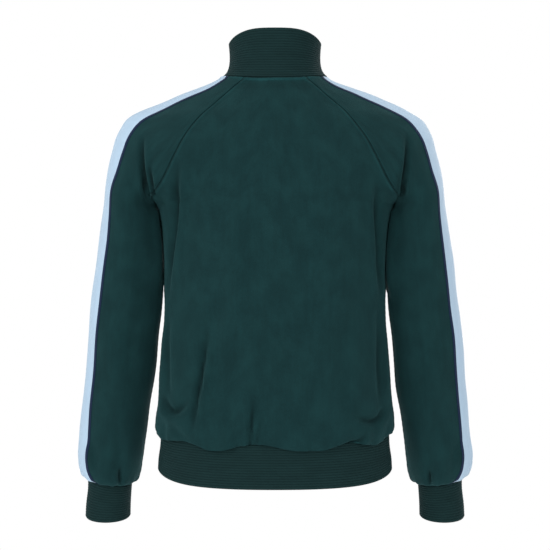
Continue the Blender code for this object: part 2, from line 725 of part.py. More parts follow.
def neck_ring(rows):
    """The collar's seam: from the back's middle, round the left shoulder, to the back again.

    The collar has each point that it shares with a sleeve and every other one of a panel's.
    """
    left, right = (neck_points(rows[name][-1]) for name in SLEEVES)
    back, front = rows["back"][-1], rows["front"][-1]
    half = BODY_COLUMNS // 2
    stretches = (back[half:-1:2], left, front[-3:0:-2], right[::-1], back[2:half:2])
    return np.concatenate(stretches)


def sleeve_walls(rows, directions, hand):
    """The sleeve's outer and inner points, drawn in at the cuff and at the armhole."""
    walls = []
    for grid in (rows.copy(), rows - CLOTH * directions):
        grid[0] = drawn_in(grid[0], grid[1], closed=True)
        grid[-1] = drawn_in(grid[-1], grid[-2], closed=True)
        grid[-1, 0, 0] += hand * SEAM_GAP / 2
        walls.append(grid)
    return walls


def panel_walls(rows, directions):
    """A panel's outer and inner points, drawn in at all four edges."""
    walls = []
    for grid in (rows.copy(), rows - CLOTH * directions):
        edges = {
            "hem": drawn_in(grid[0], grid[1], closed=False) - grid[0],
            "neck": drawn_in(grid[-1], grid[-2], closed=False) - grid[-1],
            "right": drawn_in(grid[:, 0], grid[:, 1], closed=False) - grid[:, 0],
            "left": drawn_in(grid[:, -1], grid[:, -2], closed=False) - grid[:, -1],
        }
        grid[0] += edges["hem"]
        grid[-1] += edges["neck"]
        grid[:, 0] += edges["right"]
        grid[:, -1] += edges["left"]
        grid[BODY_LEVELS, 0, 0] += SEAM_GAP / 2
        grid[BODY_LEVELS, -1, 0] -= SEAM_GAP / 2
        walls.append(grid)
    return walls


def tape_walls(rows, directions):
    """The tape's outer and inner points: a strip of the sleeve's own points, moved out."""
    strip, out = rows[:, TAPE_SPAN].copy(), directions[:, TAPE_SPAN]
    strip[0] += unit(strip[1] - strip[0]) * TAPE_END_GAP
    strip[-1] += unit(strip[-2] - strip[-1]) * TAPE_END_GAP
    return strip + out * (SEAM_GAP + TAPE_THICKNESS), strip + out * SEAM_GAP


def build():
    for thing in list(bpy.data.objects):
        bpy.data.objects.remove(thing, do_unlink=True)
    collection = bpy.data.collections.new("funnel_neck_track_top")
    bpy.context.scene.collection.children.link(collection)
    jersey = cloth_material("green_jersey", (0.010, 0.040, 0.042), 0.85)
    rib = cloth_material("green_rib", (0.010, 0.031, 0.032), 0.80)
    tape = cloth_material("pale_blue_tape", (0.55, 0.68, 0.85), 0.60)

    rows, directions = jersey_grids()
    for side in PANELS:
        outer, inner = (hem_tilt(grid) for grid in panel_walls(rows[side], directions[side]))
        wall_object(side, outer, inner, False, jersey, collection)

    for name, hand in SLEEVES.items():
        walls = sleeve_walls(rows[name], directions[name], hand)
        outer, inner = (cuff_lean(grid) for grid in walls)
        wall_object(name, outer, inner, True, jersey, collection)
        under = outer[:, TAPE_SPAN]
        outer, inner = (cuff_lean(grid) for grid in tape_walls(walls[0], directions[name]))
        tape_name = name.replace("sleeve", "sleeve_tape")
        wall_object(tape_name, outer, inner, False, tape, collection, under)

        def wall(share):
            return cuff_wall(share, hand)

        outer, inner = (cuff_lean(grid) for grid in ribbed(wall, CUFF_RIDGES, INNER_LEVELS["cuff"]))
        wall_object(name.replace("sleeve", "cuff"), outer, inner, True, rib, collection)

    outer, inner = (hem_tilt(grid) for grid in ribbed(hem_wall, HEM_RIDGES, INNER_LEVELS["hem"]))
    wall_object("hem_band", outer, inner, True, rib, collection)

    seam, seam_directions = neck_ring(rows), neck_ring(directions)

    def wall(share):
        return collar_wall(share, seam)

    outer, inner = ribbed(wall, COLLAR_RIDGES, INNER_LEVELS["collar"], seam_directions)
    wall_object("collar", outer, inner, True, rib, collection)


build()
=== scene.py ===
"""Funnel-neck raglan track top: brushed jersey, ribs, sleeve tapes and sewing.

Metres, +Z up, front towards -Y, origin in the middle of the neck opening. Every piece
of cloth is a grid of points worked out from tables of sections, with folds, gathers
and seams added along the cloth's outward directions, and a second grid for its inside.
"""

import bpy
import numpy as np
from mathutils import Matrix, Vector


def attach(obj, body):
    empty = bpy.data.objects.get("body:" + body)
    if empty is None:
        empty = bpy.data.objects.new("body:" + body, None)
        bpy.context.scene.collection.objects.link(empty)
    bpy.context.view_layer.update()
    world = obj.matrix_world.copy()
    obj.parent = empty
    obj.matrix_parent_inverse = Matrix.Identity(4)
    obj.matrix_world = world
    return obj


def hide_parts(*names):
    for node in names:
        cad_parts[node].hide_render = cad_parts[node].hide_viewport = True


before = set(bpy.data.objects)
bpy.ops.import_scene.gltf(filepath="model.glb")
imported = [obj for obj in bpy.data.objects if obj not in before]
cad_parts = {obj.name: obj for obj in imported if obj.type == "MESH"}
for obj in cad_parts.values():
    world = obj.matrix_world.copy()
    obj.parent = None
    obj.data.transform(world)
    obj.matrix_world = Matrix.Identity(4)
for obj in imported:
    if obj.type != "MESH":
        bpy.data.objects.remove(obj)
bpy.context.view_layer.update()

# ---------------------------------------------------------------- cloth and ribs
CLOTH = 0.0020  # thickness of the jersey
RIB_CLOTH = 0.0024  # and of a ribbed wall between its ribs
SEAM_GAP = 0.0003  # between two pieces that are sewn together
RIDGE_HEIGHT = 0.0011  # of a rib on the outside
INNER_RIDGE = 0.5  # height of a rib on the inside, as a share of one on the outside
RIDGES = {"collar": 19, "hem": 17, "cuff": 15}  # how many ribs lie from seam to rim
RIDGE_ROWS = 7  # rows of points across one rib
INNER_RIDGE_ROWS = 4  # and across one on the inside
RIM_SHARE = 0.984  # where a ribbed wall ends and the turn of its folded edge begins
TURN_ROWS = 5  # rows round the folded edge of a ribbed piece
SEAM_BLEND = 0.006  # how far from the collar's seam its wall turns to its own direction

# ---------------------------------------------------------------- driving heights
ARMPIT_HEIGHT = -0.2045
FAN_FOOT = -0.2345  # below it the sleeve's rings are level, above it they fan out
HEM_SEAM_HEIGHT = -0.587
HEM_DROP = 0.070
HEM_TILT = 0.022  # how far the hem is higher in front than behind
HEM_TILT_FROM = -0.42  # where the tilt starts
HEM_DEPTH = 0.24  # from its front to its back
HEM_RADII = {"x": 0.195, "y": 0.118}  # of the ellipse by which the turn round it is told
HEM_GIRTH = 1.02  # of the gathered body above the hem
HEM_CURL = 0.0085  # how far the hem's lower edge is higher at the sides than behind
CUFF_SEAM_HEIGHT = -0.670
CUFF_DROP = 0.0585
CUFF_GIRTH = 0.26  # of the gathered sleeve above the cuff
CUFF_LEAN = 0.17  # how far its seam falls towards the back, for each metre of depth
CUFF_LEAN_FROM = -0.56  # where the fall starts
CUFF_TILT = 0.0135  # how far its seam is higher on the outer side

# ---------------------------------------------------------------- neck
NECK_SIDE_X = 0.0865  # where the collar's seam crosses the shoulder
NECK_SIDE_HEIGHT = 0.0050
NECK_LOW = {"back": -0.0050, "front": -0.0380}
NECK_CURVE = {"back": 2.2, "front": 2.0}
NECK_DEPTH = 0.0800
ROWS_BEND_FROM = -0.130  # above it a panel's rows bend towards the neck's curve
RIM_HALF_WIDTH = 0.0755
RIM_DEPTH = {"back": 0.0700, "front": 0.0720}
RIM_HEIGHT = {"back": 0.0772, "front": 0.0455}
RIM_SIDE_HEIGHT = 0.0610
RIM_LEVEL = 0.0030  # how much the back of the rim is levelled
RIM_SQUARENESS = 2.15
COLLAR_FLARE = 7.0  # how fast the collar narrows above its seam
COLLAR_WAIST = 0.0020  # how much it is drawn in halfway up

# ---------------------------------------------------------------- sleeve tape
TAPE_WIDTH = 0.060
TAPE_THICKNESS = 0.0009
TAPE_EDGING = 0.0052  # width of the dark edging on each side of the tape
EDGING_BLUR = 0.00025  # half the width of the change from pale to dark
CROSS_RIB = 0.0011  # from one fine rib across the tape to the next
STITCH_LENGTH = 0.0024
STITCH_PITCH = 0.0034
STITCH_RADIUS = 0.00030
STITCH_LIFT = 0.4  # from the tape's face to a stitch's middle, in radii
STITCH_INSET = 0.0014  # from the tape's edge to its line of stitches
STITCH_SIDES = 6
STITCH_ROWS_APART = 0.01  # between the two rows' patterns of thread
# A stitch's outline: place along it, as a share of its length, and radius there.
STITCH_SHAPE = ((-0.5, 0.3), (-0.4, 0.8), (0.0, 1.0), (0.4, 0.8), (0.5, 0.3))
RUN_STEP = 0.001  # each way, to measure the direction of a line of stitches

# ---------------------------------------------------------------- how many points
# Distances from a sewn edge to the rows of points beside it.
SEAM_STEPS = np.array([0, 0.0006, 0.0013, 0.0022, 0.0033, 0.0047, 0.0064, 0.0086, 0.0114])
BODY_COLUMNS = 140
BODY_LEVELS = 136
SEAM_COLUMNS = 64
NECK_COLUMNS = {"back": 8, "front": 12}
TAPE_COLUMNS = 12
SLEEVE_LEVELS = 150
FAN_RINGS = 84
HEM_COLUMNS = 300
CUFF_COLUMNS = 132
LINE_SAMPLES = 1200  # points of a line before it is divided
CORNER_SHARE = 0.8  # share of the armhole's edge that is raglan seam, the rest being neck
UNDERARM_CROWDING = 1.2  # power that draws a seam's columns towards the underarm
TAPE_START = SEAM_COLUMNS + NECK_COLUMNS["back"]
TAPE_SPAN = slice(TAPE_START, TAPE_START + TAPE_COLUMNS + 1)

SLEEVES = {"left": 1, "right": -1}
PANELS = ("back", "front")

# ---------------------------------------------------------------- armpits
UNDERARM_OUT = (0, 0, -1)  # the outward direction where four seams meet
CREASE_RISE = {"at": 0.017, "beside": 0.052}  # over which body and sleeve become one
CREASE_REACH = 0.045  # how far off the crease counts as beside it
CREASE_ROUNDING = 0.08  # difference in depth within which the two are rounded together
ROUNDING_RISE = 0.010  # height above the armpit at which the rounding is whole
ROUNDING_REACH = 0.025  # how far off the crease it reaches
FOOT_POWER = 0.7  # by which the feet of the fanned rings climb


# ---------------------------------------------------------------- tables
class Table:
    """Rows of sizes under named columns, read as a smooth curve along the first one."""

    def __init__(self, columns, *rows):
        values = np.array(rows, float)
        self.places = values[:, 0]
        self.columns = dict(zip(columns, values.T))

    def read(self, column, place):
        """A cubic between two rows, whose slope at each row is that of a parabola through it
        and the rows beside it. Past the ends it keeps the end's value."""
        known, value = self.places, self.columns[column]
        step = np.diff(known)
        rise = np.diff(value) / step
        inner = (rise[:-1] * step[1:] + rise[1:] * step[:-1]) / (step[1:] + step[:-1])
        slope = np.concatenate([rise[:1], inner, rise[-1:]])
        place = np.clip(place, known[0], known[-1])
        i = np.clip(np.searchsorted(known, place) - 1, 0, len(step) - 1)
        t = (place - known[i]) / step[i]
        value_part = (1 + 2 * t) * (1 - t) ** 2 * value[i] + t**2 * (3 - 2 * t) * value[i + 1]
        slope_part = t * (1 - t) ** 2 * slope[i] - t**2 * (1 - t) * slope[i + 1]
        return value_part + slope_part * step[i]

    def rows(self):
        """The rows one by one, as plain sizes."""
        return zip(*self.columns.values())


# Sections of the body. Above the armpit, half_width is the crease between body and sleeve.
BODY = Table(
    ("height", "half_width", "back", "front", "squareness"),
    (-0.587, 0.1870, 0.1120, 0.1160, 2.35),
    (-0.578, 0.1958, 0.1180, 0.1220, 2.35),
    (-0.562, 0.1982, 0.1205, 0.1250, 2.35),
    (-0.535, 0.1955, 0.1170, 0.1225, 2.35),
    (-0.480, 0.1895, 0.1115, 0.1190, 2.35),
    (-0.420, 0.1853, 0.1115, 0.1195, 2.35),
    (-0.361, 0.1825, 0.1160, 0.1230, 2.35),
    (-0.279, 0.1838, 0.1235, 0.1285, 2.40),
    (-0.2345, 0.1882, 0.1255, 0.1295, 2.40),
    (-0.2045, 0.1947, 0.1260, 0.1290, 2.40),
    (-0.180, 0.2055, 0.1240, 0.1270, 2.40),
    (-0.155, 0.2115, 0.1210, 0.1230, 2.35),
    (-0.130, 0.2150, 0.1170, 0.1180, 2.30),
    (-0.097, 0.2160, 0.1100, 0.1090, 2.10),
    (-0.064, 0.2150, 0.1010, 0.0970, 1.80),
    (-0.048, 0.2140, 0.0960, 0.0905, 1.58),
    (-0.031, 0.2130, 0.0900, 0.0830, 1.52),
    (-0.015, 0.2120, 0.0830, 0.0760, 1.62),
    (0.000, 0.2110, 0.0760, 0.0700, 1.88),
    (0.006, 0.2110, 0.0730, 0.0680, 2.00),
)

# The shoulder's outline from the front.
SHOULDER = Table(
    ("height", "half_width"),
    (-0.2045, 0.2790),
    (-0.180, 0.2762),
    (-0.147, 0.2710),
    (-0.114, 0.2637),
    (-0.097, 0.2595),
    (-0.081, 0.2520),
    (-0.064, 0.2400),
    (-0.048, 0.2135),
    (-0.031, 0.1735),
    (-0.015, 0.1300),
    (0.0012, 0.0930),
    (0.0050, 0.0865),
)

# Sections of the sleeve, from the cuff's seam to the armpit.
SLEEVE = Table(
    ("height", "inner", "outer", "half_depth", "middle_y"),
    (-0.670, 0.2417, 0.3143, 0.0350, -0.0500),
    (-0.664, 0.2320, 0.3220, 0.0430, -0.0490),
    (-0.652, 0.2240, 0.3290, 0.0490, -0.0475),
    (-0.632, 0.2195, 0.3315, 0.0530, -0.0450),
    (-0.590, 0.2150, 0.3275, 0.0550, -0.0400),
    (-0.545, 0.2090, 0.3225, 0.0570, -0.0340),
    (-0.490, 0.1995, 0.3160, 0.0590, -0.0260),
    (-0.430, 0.1920, 0.3105, 0.0610, -0.0180),
    (-0.361, 0.1850, 0.3010, 0.0630, -0.0100),
    (-0.279, 0.1863, 0.2907, 0.0680, -0.0040),
    (-0.2345, 0.1908, 0.2838, 0.0750, -0.0010),
    (-0.2045, 0.1947, 0.2790, 0.0800, 0.0000),
)

# How far the tape's back edge lies behind the sleeve's outermost line, by height there.
TAPE_LINE = Table(
    ("z", "behind"),
    (-0.670, 0.0520),
    (-0.630, 0.0510),
    (-0.550, 0.0512),
    (-0.450, 0.0530),
    (-0.360, 0.0548),
    (-0.300, 0.0590),
    (-0.250, 0.0655),
    (-0.200, 0.0710),
    (-0.165, 0.0710),
    (-0.120, 0.0655),
    (-0.085, 0.0600),
    (-0.050, 0.0550),
    (-0.020, 0.0510),
    (0.010, 0.0460),
)

# The raglan seams from the front, from the armpit to the neck.
RAGLAN = {
    "back": Table(
        ("step", "x", "height"),
        (0, 0.1947, -0.2045),
        (1, 0.1975, -0.1945),
        (2, 0.1890, -0.1830),
        (3, 0.1770, -0.1655),
        (4, 0.1580, -0.1274),
        (5, 0.1405, -0.0958),
        (6, 0.1186, -0.0670),
        (7, 0.1000, -0.0480),
        (8, 0.0750, -0.0250),
        (9, 0.0480, -0.0023),
    ),
    "front": Table(
        ("step", "x", "height"),
        (0, 0.1947, -0.2045),
        (1, 0.1970, -0.1945),
        (2, 0.1860, -0.1830),
        (3, 0.1730, -0.1650),
        (4, 0.1520, -0.1310),
        (5, 0.1280, -0.0960),
        (6, 0.1070, -0.0710),
        (7, 0.0870, -0.0490),
        (8, 0.0720, -0.0330),
        (9, 0.0580, -0.0187),
    ),
}

# The ribbed hem, from its seam down.
HEM = Table(
    ("share", "half_width", "back", "front"),
    (0.0, 0.1865, 0.1115, 0.1155),
    (0.3, 0.1875, 0.1120, 0.1160),
    (0.7, 0.1905, 0.1145, 0.1180),
    (1.0, 0.1915, 0.1150, 0.1185),
)
HEM_SQUARENESS = 2.35

# The ribbed cuff, from its seam down.
CUFF = Table(
    ("share", "middle_x", "middle_y", "half_width", "half_depth"),
    (0.0, 0.2780, -0.0500, 0.0360, 0.0345),
    (0.3, 0.2790, -0.0520, 0.0355, 0.0340),
    (0.7, 0.2815, -0.0550, 0.0365, 0.0345),
    (1.0, 0.2825, -0.0575, 0.0370, 0.0350),
)

# Folds: a line bent through a middle point, seen from the front. depth is how far its
# trough sinks, and crest how far the cloth rises beside it, on the side that lean gives.
FOLD_COLUMNS = ("x0", "z0", "x1", "z1", "x2", "z2", "width", "depth", "crest", "lean")
FOLDS = {
    "back": Table(
        FOLD_COLUMNS,
        # armpits, left and right
        (0.2120, -0.1000, 0.2100, -0.1560, 0.1985, -0.2200, 0.0046, 0.0094, 0.0034, -1),
        (0.1985, -0.1480, 0.1962, -0.1720, 0.1925, -0.1960, 0.0038, 0.0066, 0.0020, -1),
        (0.2300, -0.1500, 0.2190, -0.1820, 0.2040, -0.2120, 0.0090, 0.0026, 0.0012, 1),
        (-0.2125, -0.0960, -0.2070, -0.1580, -0.1975, -0.2220, 0.0046, 0.0098, 0.0034, 1),
        (-0.2290, -0.1600, -0.2180, -0.1930, -0.2010, -0.2210, 0.0080, 0.0028, 0.0012, -1),
        (-0.1975, -0.1540, -0.1955, -0.1740, -0.1920, -0.1950, 0.0038, 0.0044, 0.0014, 1),
        # sides of the body
        (0.1540, -0.1480, 0.1600, -0.2350, 0.1760, -0.3560, 0.0060, 0.0100, 0.0060, -1),
        (-0.1600, -0.1700, -0.1650, -0.2600, -0.1720, -0.3600, 0.0068, 0.0092, 0.0048, 1),
        (0.1755, -0.3800, 0.1762, -0.4560, 0.1720, -0.5180, 0.0070, 0.0080, 0.0026, 1),
        (-0.1690, -0.3700, -0.1725, -0.4600, -0.1735, -0.5380, 0.0078, 0.0090, 0.0030, -1),
        # long soft folds that run down to the hem
        (0.0890, -0.3600, 0.1000, -0.4150, 0.1080, -0.4700, 0.0120, 0.0024, 0.0018, -1),
        (0.1070, -0.4060, 0.1180, -0.4900, 0.1310, -0.5640, 0.0052, 0.0078, 0.0052, -1),
        (-0.1010, -0.3900, -0.1070, -0.4700, -0.1000, -0.5500, 0.0150, 0.0030, 0.0022, -1),
        (0.0180, -0.4200, 0.0240, -0.4800, 0.0300, -0.5400, 0.0130, 0.0018, 0.0012, 1),
        (-0.0540, -0.4400, -0.0600, -0.5000, -0.0520, -0.5600, 0.0130, 0.0016, 0.0012, 1),
        # broad soft swellings
        (0.0660, -0.1100, 0.0620, -0.2800, 0.0680, -0.4600, 0.0200, -0.0042, 0.0000, 1),
        (-0.0780, -0.1000, -0.0850, -0.2800, -0.0830, -0.4700, 0.0240, -0.0046, 0.0000, 1),
        # cloth that rests on the hem
        (0.1830, -0.5140, 0.1650, -0.5400, 0.1370, -0.5190, 0.0072, 0.0096, 0.0050, 1),
        (0.1640, -0.5600, 0.1500, -0.5700, 0.1320, -0.5740, 0.0046, 0.0030, 0.0016, -1),
        (-0.1800, -0.5340, -0.1600, -0.5540, -0.1260, -0.5430, 0.0064, 0.0084, 0.0044, -1),
        (0.0325, -0.5120, 0.0365, -0.5530, 0.0420, -0.6040, 0.0040, 0.0052, 0.0026, 1),
        (0.0180, -0.5380, 0.0260, -0.5660, 0.0350, -0.6000, 0.0034, 0.0034, 0.0014, -1),
        (-0.1440, -0.5660, -0.1250, -0.5790, -0.1040, -0.5860, 0.0040, 0.0062, 0.0028, -1),
        (-0.0520, -0.5640, -0.0560, -0.5740, -0.0600, -0.5840, 0.0038, 0.0024, 0.0012, 1),
        # sleeves
        (0.2260, -0.2500, 0.2140, -0.3100, 0.2060, -0.3850, 0.0140, 0.0022, 0.0014, 1),
        (-0.2240, -0.2400, -0.2130, -0.3000, -0.2060, -0.3750, 0.0140, 0.0022, 0.0014, -1),
        (0.2260, -0.3950, 0.2360, -0.4500, 0.2300, -0.5200, 0.0140, 0.0024, 0.0016, 1),
        (-0.2220, -0.4050, -0.2340, -0.4600, -0.2300, -0.5300, 0.0140, 0.0024, 0.0016, -1),
        (0.2640, -0.5600, 0.2560, -0.6000, 0.2620, -0.6480, 0.0090, 0.0028, 0.0016, -1),
        (0.2545, -0.6390, 0.2560, -0.6510, 0.2550, -0.6660, 0.0031, 0.0054, 0.0022, 1),
        (-0.2545, -0.6410, -0.2550, -0.6520, -0.2565, -0.6670, 0.0031, 0.0050, 0.0018, -1),
        (-0.2580, -0.5660, -0.2540, -0.6060, -0.2620, -0.6500, 0.0090, 0.0028, 0.0016, 1),
        (0.3060, -0.5900, 0.2960, -0.6200, 0.2980, -0.6540, 0.0070, 0.0026, 0.0014, 1),
        (-0.3020, -0.5940, -0.2940, -0.6240, -0.2960, -0.6560, 0.0070, 0.0026, 0.0014, -1),
    ),
    "front": Table(
        FOLD_COLUMNS,
        # armpits, left and right
        (0.2120, -0.0960, 0.2095, -0.1560, 0.1990, -0.2200, 0.0046, 0.0092, 0.0034, -1),
        (0.1985, -0.1480, 0.1960, -0.1730, 0.1922, -0.1950, 0.0038, 0.0050, 0.0018, -1),
        (0.2340, -0.1300, 0.2210, -0.1740, 0.2050, -0.2120, 0.0088, 0.0032, 0.0016, 1),
        (-0.2120, -0.1020, -0.2090, -0.1600, -0.1985, -0.2200, 0.0046, 0.0094, 0.0034, 1),
        (-0.2350, -0.1400, -0.2200, -0.1800, -0.2040, -0.2140, 0.0086, 0.0030, 0.0016, -1),
        # sides of the body
        (0.1500, -0.1560, 0.1550, -0.2500, 0.1700, -0.3560, 0.0062, 0.0098, 0.0056, -1),
        (-0.1520, -0.1640, -0.1570, -0.2560, -0.1690, -0.3480, 0.0066, 0.0092, 0.0050, 1),
        (0.1720, -0.3700, 0.1680, -0.4500, 0.1560, -0.5160, 0.0070, 0.0078, 0.0028, 1),
        (-0.1710, -0.3600, -0.1690, -0.4400, -0.1600, -0.5100, 0.0074, 0.0074, 0.0026, -1),
        # long soft folds that run down to the hem
        (0.0960, -0.3600, 0.1060, -0.4500, 0.1240, -0.5500, 0.0062, 0.0070, 0.0044, -1),
        (-0.0860, -0.3900, -0.0980, -0.4700, -0.1180, -0.5560, 0.0070, 0.0064, 0.0040, 1),
        (0.0300, -0.4500, 0.0420, -0.5100, 0.0500, -0.5680, 0.0056, 0.0054, 0.0030, 1),
        (-0.0300, -0.4600, -0.0420, -0.5150, -0.0400, -0.5660, 0.0095, 0.0032, 0.0022, -1),
        # cloth that rests on the hem
        (0.1820, -0.4980, 0.1580, -0.5240, 0.1180, -0.5080, 0.0070, 0.0092, 0.0048, 1),
        (-0.1820, -0.4900, -0.1600, -0.5200, -0.1220, -0.5040, 0.0068, 0.0086, 0.0044, -1),
        # insides of the elbows
        (0.2220, -0.3800, 0.2460, -0.4100, 0.2800, -0.4180, 0.0090, 0.0042, 0.0026, 1),
        (0.2140, -0.4200, 0.2420, -0.4460, 0.2720, -0.4460, 0.0085, 0.0034, 0.0020, 1),
        (-0.2220, -0.3720, -0.2480, -0.4040, -0.2820, -0.4100, 0.0090, 0.0042, 0.0026, -1),
        (-0.2140, -0.4160, -0.2400, -0.4400, -0.2700, -0.4440, 0.0085, 0.0034, 0.0020, -1),
        # above the cuffs
        (0.2620, -0.5560, 0.2580, -0.6000, 0.2680, -0.6480, 0.0090, 0.0032, 0.0018, -1),
        (-0.2620, -0.5600, -0.2560, -0.6040, -0.2660, -0.6500, 0.0090, 0.0032, 0.0018, 1),
    ),
}
FOLD_PIECES = 10  # straight pieces that a fold's line is measured along
FOLD_ENDS = (0.02, 0.98)
FOLD_FADE = 0.7
# In widths of the trough: a crest's place and width, and the width of the fold's own shade.
CREST_OFF, CREST_WIDTH, SHADE_WIDTH = 1.7, 1.2, 0.6
STEEP = (0.5, 2.0)  # depth, in widths, at which a fold starts to shade itself and does fully
FACING = (0.05, 0.6)  # how far cloth faces back or front where folds start and are whole

# Slow waves through the cloth: their length, direction, height and start.
WAVES = Table(
    ("length", "x", "y", "z", "height", "start"),
    (0.050, 0.80, 0.30, 0.52, 0.00022, 0.4),
    (0.064, 0.90, -0.10, 0.42, 0.00030, 1.7),
    (0.083, -0.70, 0.40, 0.60, 0.00040, 2.9),
    (0.110, 0.94, 0.05, -0.33, 0.00055, 4.1),
    (0.147, 0.35, -0.20, 0.91, 0.00060, 5.3),
    (0.190, 0.85, 0.45, 0.25, 0.00075, 0.9),
    (0.128, 1.00, 0.02, 0.06, 0.00100, 2.0),
)

# Where the gathered body hangs over the hem, by turn round the hem from the left side.
OVERHANG = Table(
    ("turn", "drop"),
    (0.000, 0.0080),
    (0.040, 0.0100),
    (0.080, 0.0140),
    (0.105, 0.0105),
    (0.123, 0.0075),
    (0.147, 0.0140),
    (0.164, 0.0210),
    (0.183, 0.0200),
    (0.203, 0.0125),
    (0.217, 0.0080),
    (0.232, 0.0075),
    (0.250, 0.0122),
    (0.264, 0.0170),
    (0.276, 0.0192),
    (0.295, 0.0198),
    (0.314, 0.0190),
    (0.329, 0.0135),
    (0.344, 0.0075),
    (0.365, 0.0125),
    (0.389, 0.0185),
    (0.413, 0.0152),
    (0.439, 0.0085),
    (0.470, 0.0100),
    (0.500, 0.0085),
    (0.530, 0.0140),
    (0.560, 0.0085),
    (0.590, 0.0160),
    (0.620, 0.0190),
    (0.645, 0.0130),
    (0.670, 0.0075),
    (0.700, 0.0150),
    (0.725, 0.0185),
    (0.750, 0.0140),
    (0.775, 0.0080),
    (0.800, 0.0140),
    (0.830, 0.0195),
    (0.860, 0.0160),
    (0.885, 0.0080),
    (0.915, 0.0150),
    (0.945, 0.0170),
    (0.970, 0.0100),
    (1.000, 0.0080),
)
OVERHANG_HEIGHT = 0.012  # where it hangs most, above the seam
OVERHANG_SPREAD = 0.0095  # how far from there it still hangs
OVERHANG_START = 0.005  # height above the seam at which the cloth hangs freely
SEAM_CLEAR = 0.004  # folds start this far above the hem's and the cuffs' seams

# Gathers that start in a seam: their turn round it, lean, width, reach and depth.
GATHER_COLUMNS = ("turn", "lean", "width", "reach", "depth")
HEM_GATHERS = Table(
    GATHER_COLUMNS,
    (0.028, 0.10, 0.0050, 0.022, 0.0020),
    (0.083, 0.05, 0.0046, 0.026, 0.0034),
    (0.104, -0.15, 0.0036, 0.014, 0.0012),
    (0.170, 0.12, 0.0036, 0.014, 0.0010),
    (0.206, -0.30, 0.0044, 0.034, 0.0038),
    (0.222, -0.42, 0.0040, 0.028, 0.0030),
    (0.262, 0.10, 0.0036, 0.014, 0.0010),
    (0.292, 0.35, 0.0042, 0.026, 0.0018),
    (0.352, -0.10, 0.0038, 0.018, 0.0014),
    (0.382, 0.12, 0.0046, 0.026, 0.0030),
    (0.421, 0.20, 0.0040, 0.020, 0.0018),
    (0.472, -0.10, 0.0050, 0.022, 0.0020),
    (0.528, 0.15, 0.0050, 0.026, 0.0022),
    (0.571, -0.20, 0.0044, 0.030, 0.0028),
    (0.603, 0.10, 0.0040, 0.018, 0.0014),
    (0.662, 0.25, 0.0044, 0.030, 0.0030),
    (0.706, -0.15, 0.0040, 0.020, 0.0018),
    (0.771, 0.10, 0.0044, 0.028, 0.0028),
    (0.812, -0.25, 0.0040, 0.020, 0.0016),
    (0.868, 0.15, 0.0046, 0.030, 0.0030),
    (0.925, -0.10, 0.0044, 0.024, 0.0022),
    (0.965, 0.10, 0.0044, 0.020, 0.0018),
)
CUFF_GATHERS = Table(
    GATHER_COLUMNS,
    (0.045, 0.10, 0.0040, 0.018, 0.0022),
    (0.120, -0.15, 0.0034, 0.014, 0.0014),
    (0.185, 0.10, 0.0042, 0.026, 0.0036),
    (0.240, -0.10, 0.0034, 0.012, 0.0012),
    (0.330, 0.12, 0.0042, 0.022, 0.0028),
    (0.410, -0.15, 0.0036, 0.016, 0.0018),
    (0.490, 0.10, 0.0040, 0.018, 0.0020),
    (0.575, -0.10, 0.0040, 0.022, 0.0026),
    (0.640, 0.15, 0.0036, 0.014, 0.0016),
    (0.725, -0.12, 0.0042, 0.024, 0.0030),
    (0.800, 0.10, 0.0036, 0.016, 0.0018),
    (0.870, -0.10, 0.0040, 0.020, 0.0024),
    (0.945, 0.12, 0.0036, 0.014, 0.0016),
)
CUFF_OVERHANG = 0.0045  # where the gathered sleeve hangs over the cuff
GATHER_RISES = 0.35  # height of the two rises beside a gather's trough, as a share of it

# The sleeves' inner sides and the body's sides, by height: how far a sleeve swells beside
# the line where it lies on the body, and how far each of them is drawn in all over.
SIDES = Table(
    ("z", "left_press", "right_press", "sleeve_in", "left_body_in", "right_body_in"),
    (-0.680, 0.0000, 0.0000, 0.0030, 0.0000, 0.0000),
    (-0.620, 0.0000, 0.0000, 0.0032, 0.0000, 0.0000),
    (-0.580, 0.0000, 0.0000, 0.0018, 0.0010, 0.0006),
    (-0.550, 0.0000, 0.0000, 0.0014, 0.0032, 0.0026),
    (-0.510, 0.0000, 0.0000, 0.0014, 0.0022, 0.0022),
    (-0.490, 0.0000, 0.0000, 0.0016, 0.0006, 0.0006),
    (-0.460, 0.0000, 0.0000, 0.0016, -0.0004, -0.0010),
    (-0.430, 0.0000, 0.0000, 0.0016, -0.0008, -0.0012),
    (-0.395, 0.0000, 0.0000, 0.0018, 0.0020, 0.0014),
    (-0.360, 0.0000, 0.0004, 0.0024, 0.0022, 0.0014),
    (-0.345, 0.0022, 0.0062, 0.0018, 0.0012, 0.0002),
    (-0.325, 0.0056, 0.0104, 0.0004, 0.0000, 0.0000),
    (-0.300, 0.0080, 0.0110, 0.0000, 0.0000, 0.0000),
    (-0.230, 0.0084, 0.0098, 0.0000, 0.0000, 0.0000),
    (-0.215, 0.0076, 0.0080, 0.0000, 0.0000, 0.0000),
    (-0.207, 0.0030, 0.0030, 0.0000, 0.0000, 0.0000),
    (-0.200, 0.0000, 0.0000, 0.0000, 0.0000, 0.0000),
    (-0.190, 0.0000, 0.0000, 0.0000, 0.0000, 0.0000),
)
PRESS_WIDTH, PRESS_OFF = 0.0125, 0.0305  # a swelling's half width, and its place off the line
INNER_SIDE = (0.006, 0.030)  # inwards of a sleeve's middle, where its inner side starts
BODY_SIDE = (0.45, 0.95)  # how far cloth faces sideways where the body's side starts
# Round the underarm point the cloth is plain, and further off it has all its folds.
UNDERARM = {"x": 0.1935, "z": -0.2010, "plain": 0.0045, "folded": 0.0150}

